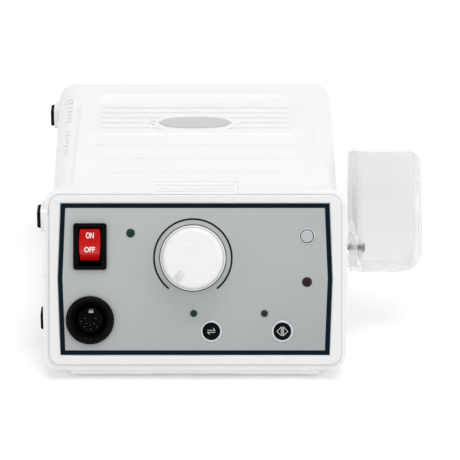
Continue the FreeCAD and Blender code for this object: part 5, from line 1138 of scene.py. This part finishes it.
# %% Handpiece socket
SOCKET_X = -47.7
SOCKET_UP = -28.2
PIN_FOOT = -7.8
pins = Growing("contact_pins", {"Radius": 0.34, "Length": 3.15})
pin_radius, pin_length = pins.given["Radius"], pins.given["Length"]
half_pin = pins.math("MULTIPLY", pin_length, 0.5)
pin = pins.moved(pins.rod(pin_radius, pin_length, 12, 3), pins.vector(z=half_pin))
contact_pins = pins.finish(pins.domed(pin, pin_radius, pin_length, pin_radius))
PIN_RINGS = ((4.3, (190, 225, 270, 315, 350)), (2.5, (163, 222, 270, 318, 377)))
pin_spots = [(ring * math.cos(math.radians(turn)), ring * math.sin(math.radians(turn)), 0)
             for ring, turns in PIN_RINGS for turn in turns]
in_socket = panel_spot(SOCKET_X, SOCKET_UP)
at_foot = in_socket @ Matrix.Translation((0, 0, PIN_FOOT))
plug_pins = grow("plug_pins", contact_pins, pin_spots, at_foot, "case", slot_of("socket_contacts"),
                 Finish=steel)
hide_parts("socket_contacts")
dress("socket_shell", gloss_black, 0.25, segments=3)
dress("socket_insert", satin_black, 0.12)
paint(zinc, "socket_nut")

# %% [markdown]
# Above the pins a white tab sets the plug's turn. Seen from the side it has one step, so it is an outline
# of six points that is drawn at two places and joined up.

# %% Key tab of the socket
TAB_LEFT = -0.83
TAB_RIGHT = 1.33
step_profile = [(3.2, PIN_FOOT), (3.2, -4.4), (4.15, -4.4), (4.15, -6.0), (4.95, -6.0), (4.95, PIN_FOOT)]
shape = bmesh.new()
ends = [[shape.verts.new(in_socket @ Vector((x, up, out))) for up, out in step_profile]
        for x in (TAB_LEFT, TAB_RIGHT)]
shape.faces.new(ends[0])
shape.faces.new(ends[1])
for step in range(len(step_profile)):
    after = (step + 1) % len(step_profile)
    shape.faces.new((ends[0][step], ends[0][after], ends[1][after], ends[1][step]))
bmesh.ops.recalc_face_normals(shape, faces=shape.faces)
key_tab = add_piece("key_tab", mesh_from("key_tab", shape), "case", white_print)
round_edges(key_tab, 0.08)
print(key_tab.name, len(key_tab.data.polygons), "faces")

# %% [markdown]
# The cup is one clear moulding that hangs on a screw and can be tilted. A see-through piece needs a closed
# mesh whose faces all point outwards. The frame's node is one, so its merged copy gets a fine rounding and
# the clear finish, and the screws' tree makes its screw with smaller sizes.

# %% Cup and its fittings
CUP_SCREW_SEAT = (78.55, -23.5, 38.7)
cup = dress("holder_cup", clear_cup, 0.35, segments=3)
cup_screw_spot = IN_ROW @ Matrix.Translation(CUP_SCREW_SEAT) @ Matrix.Rotation(math.pi / 2, 4, "Y")
cup_screw = grow("cup_screw", cross_head_screws, [(0, 0, 0)], cup_screw_spot, body_of("holder_screw"),
                 slot_of("holder_screw"), Finish=dark_steel, Head_Radius=2.2, Head_Height=1.5,
                 Shank_Radius=1.35, Shank_Length=17.95, Cross=0.55)
round_edges(cup_screw, SCREW_EDGE, SHARP)
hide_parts("holder_screw")
dress("holder_washers", steel, 0.06)
paint(brass, "holder_nutsert")
print(cup.name, "rides on", body_of("holder_cup"))

# %% [markdown]
# The rear carries the mains inlet, the pedal jack and the fuse holder on a black panel. All of them are
# bought parts whose shape the frame has, so they get their plastics and metals and their fine edges.

# %% Rear parts
for node, finish, width in (("rear_panel", satin_black, 0.15), ("mains_inlet", gloss_black, 0.2),
                            ("inlet_pins", brass, 0.1), ("pedal_jack", satin_black, 0.15),
                            ("pedal_jack_nut", zinc, 0.15), ("fuse_holder", satin_black, 0.15),
                            ("fuse_cap", satin_black, 0.15)):
    fitting = dress(node, finish, width)
    print(fitting.name, len(fitting.data.polygons), "faces")
paint(fuse_glass, "fuse")

# %% [markdown]
# The fuse cap is turned by hand, so its head has short ribs round it for the grip. They repeat, so a third
# tree makes them: one rod, copied to points on a circle, half sunk into the cap.

# %% Grip of the fuse cap
CAP_X = 31.0
CAP_Z = 43.0
CAP_RADIUS = 6.4
RIBS_MIDDLE_Y = 86.55
RIBS = 24
grip = Growing("grip_ribs", {"Rib Radius": 0.42, "Rib Length": 3.4})
grip_ribs = grip.finish(grip.rod(grip.given["Rib Radius"], grip.given["Rib Length"], 10))
rib_spots = [(x, y, 0) for x, y in ring_points(CAP_RADIUS, RIBS)]
cap_middle = IN_ROW @ Matrix.Translation((CAP_X, RIBS_MIDDLE_Y, CAP_Z))
cap_middle = cap_middle @ Matrix.Rotation(-math.pi / 2, 4, "X")
cap_grip = grow("cap_grip", grip_ribs, rib_spots, cap_middle, "fuse_cap", slot_of("fuse_cap"),
                Finish=satin_black)
round_edges(cap_grip, 0.1, SHARP)

# %% [markdown]
# The closed housing hides its boards, transformer and screws. They could be left as they came, but whoever
# opens the model sees them, so each keeps its construction shape and gets its real finish.

# %% Inner parts
paint(steel, "control_board_screws", "main_board_screws", "transformer_screws")
paint(zinc, "transformer_bracket")
paint(green_board, "control_board", "main_board")
paint(aluminium, "smoothing_capacitor", "heat_sink")
paint(satin_black, "rectifier", "power_transistor")
paint(white_frame, "board_plugs")
paint(dark_iron, "transformer_core")
paint(copper, "transformer_winding")
unpainted = [name for name, item in frame["nodes"].items()
             if not item.hide_render and item.data.materials[0].name not in bpy.data.materials]
print("nodes left without a finish", unpainted)

# %% [markdown]
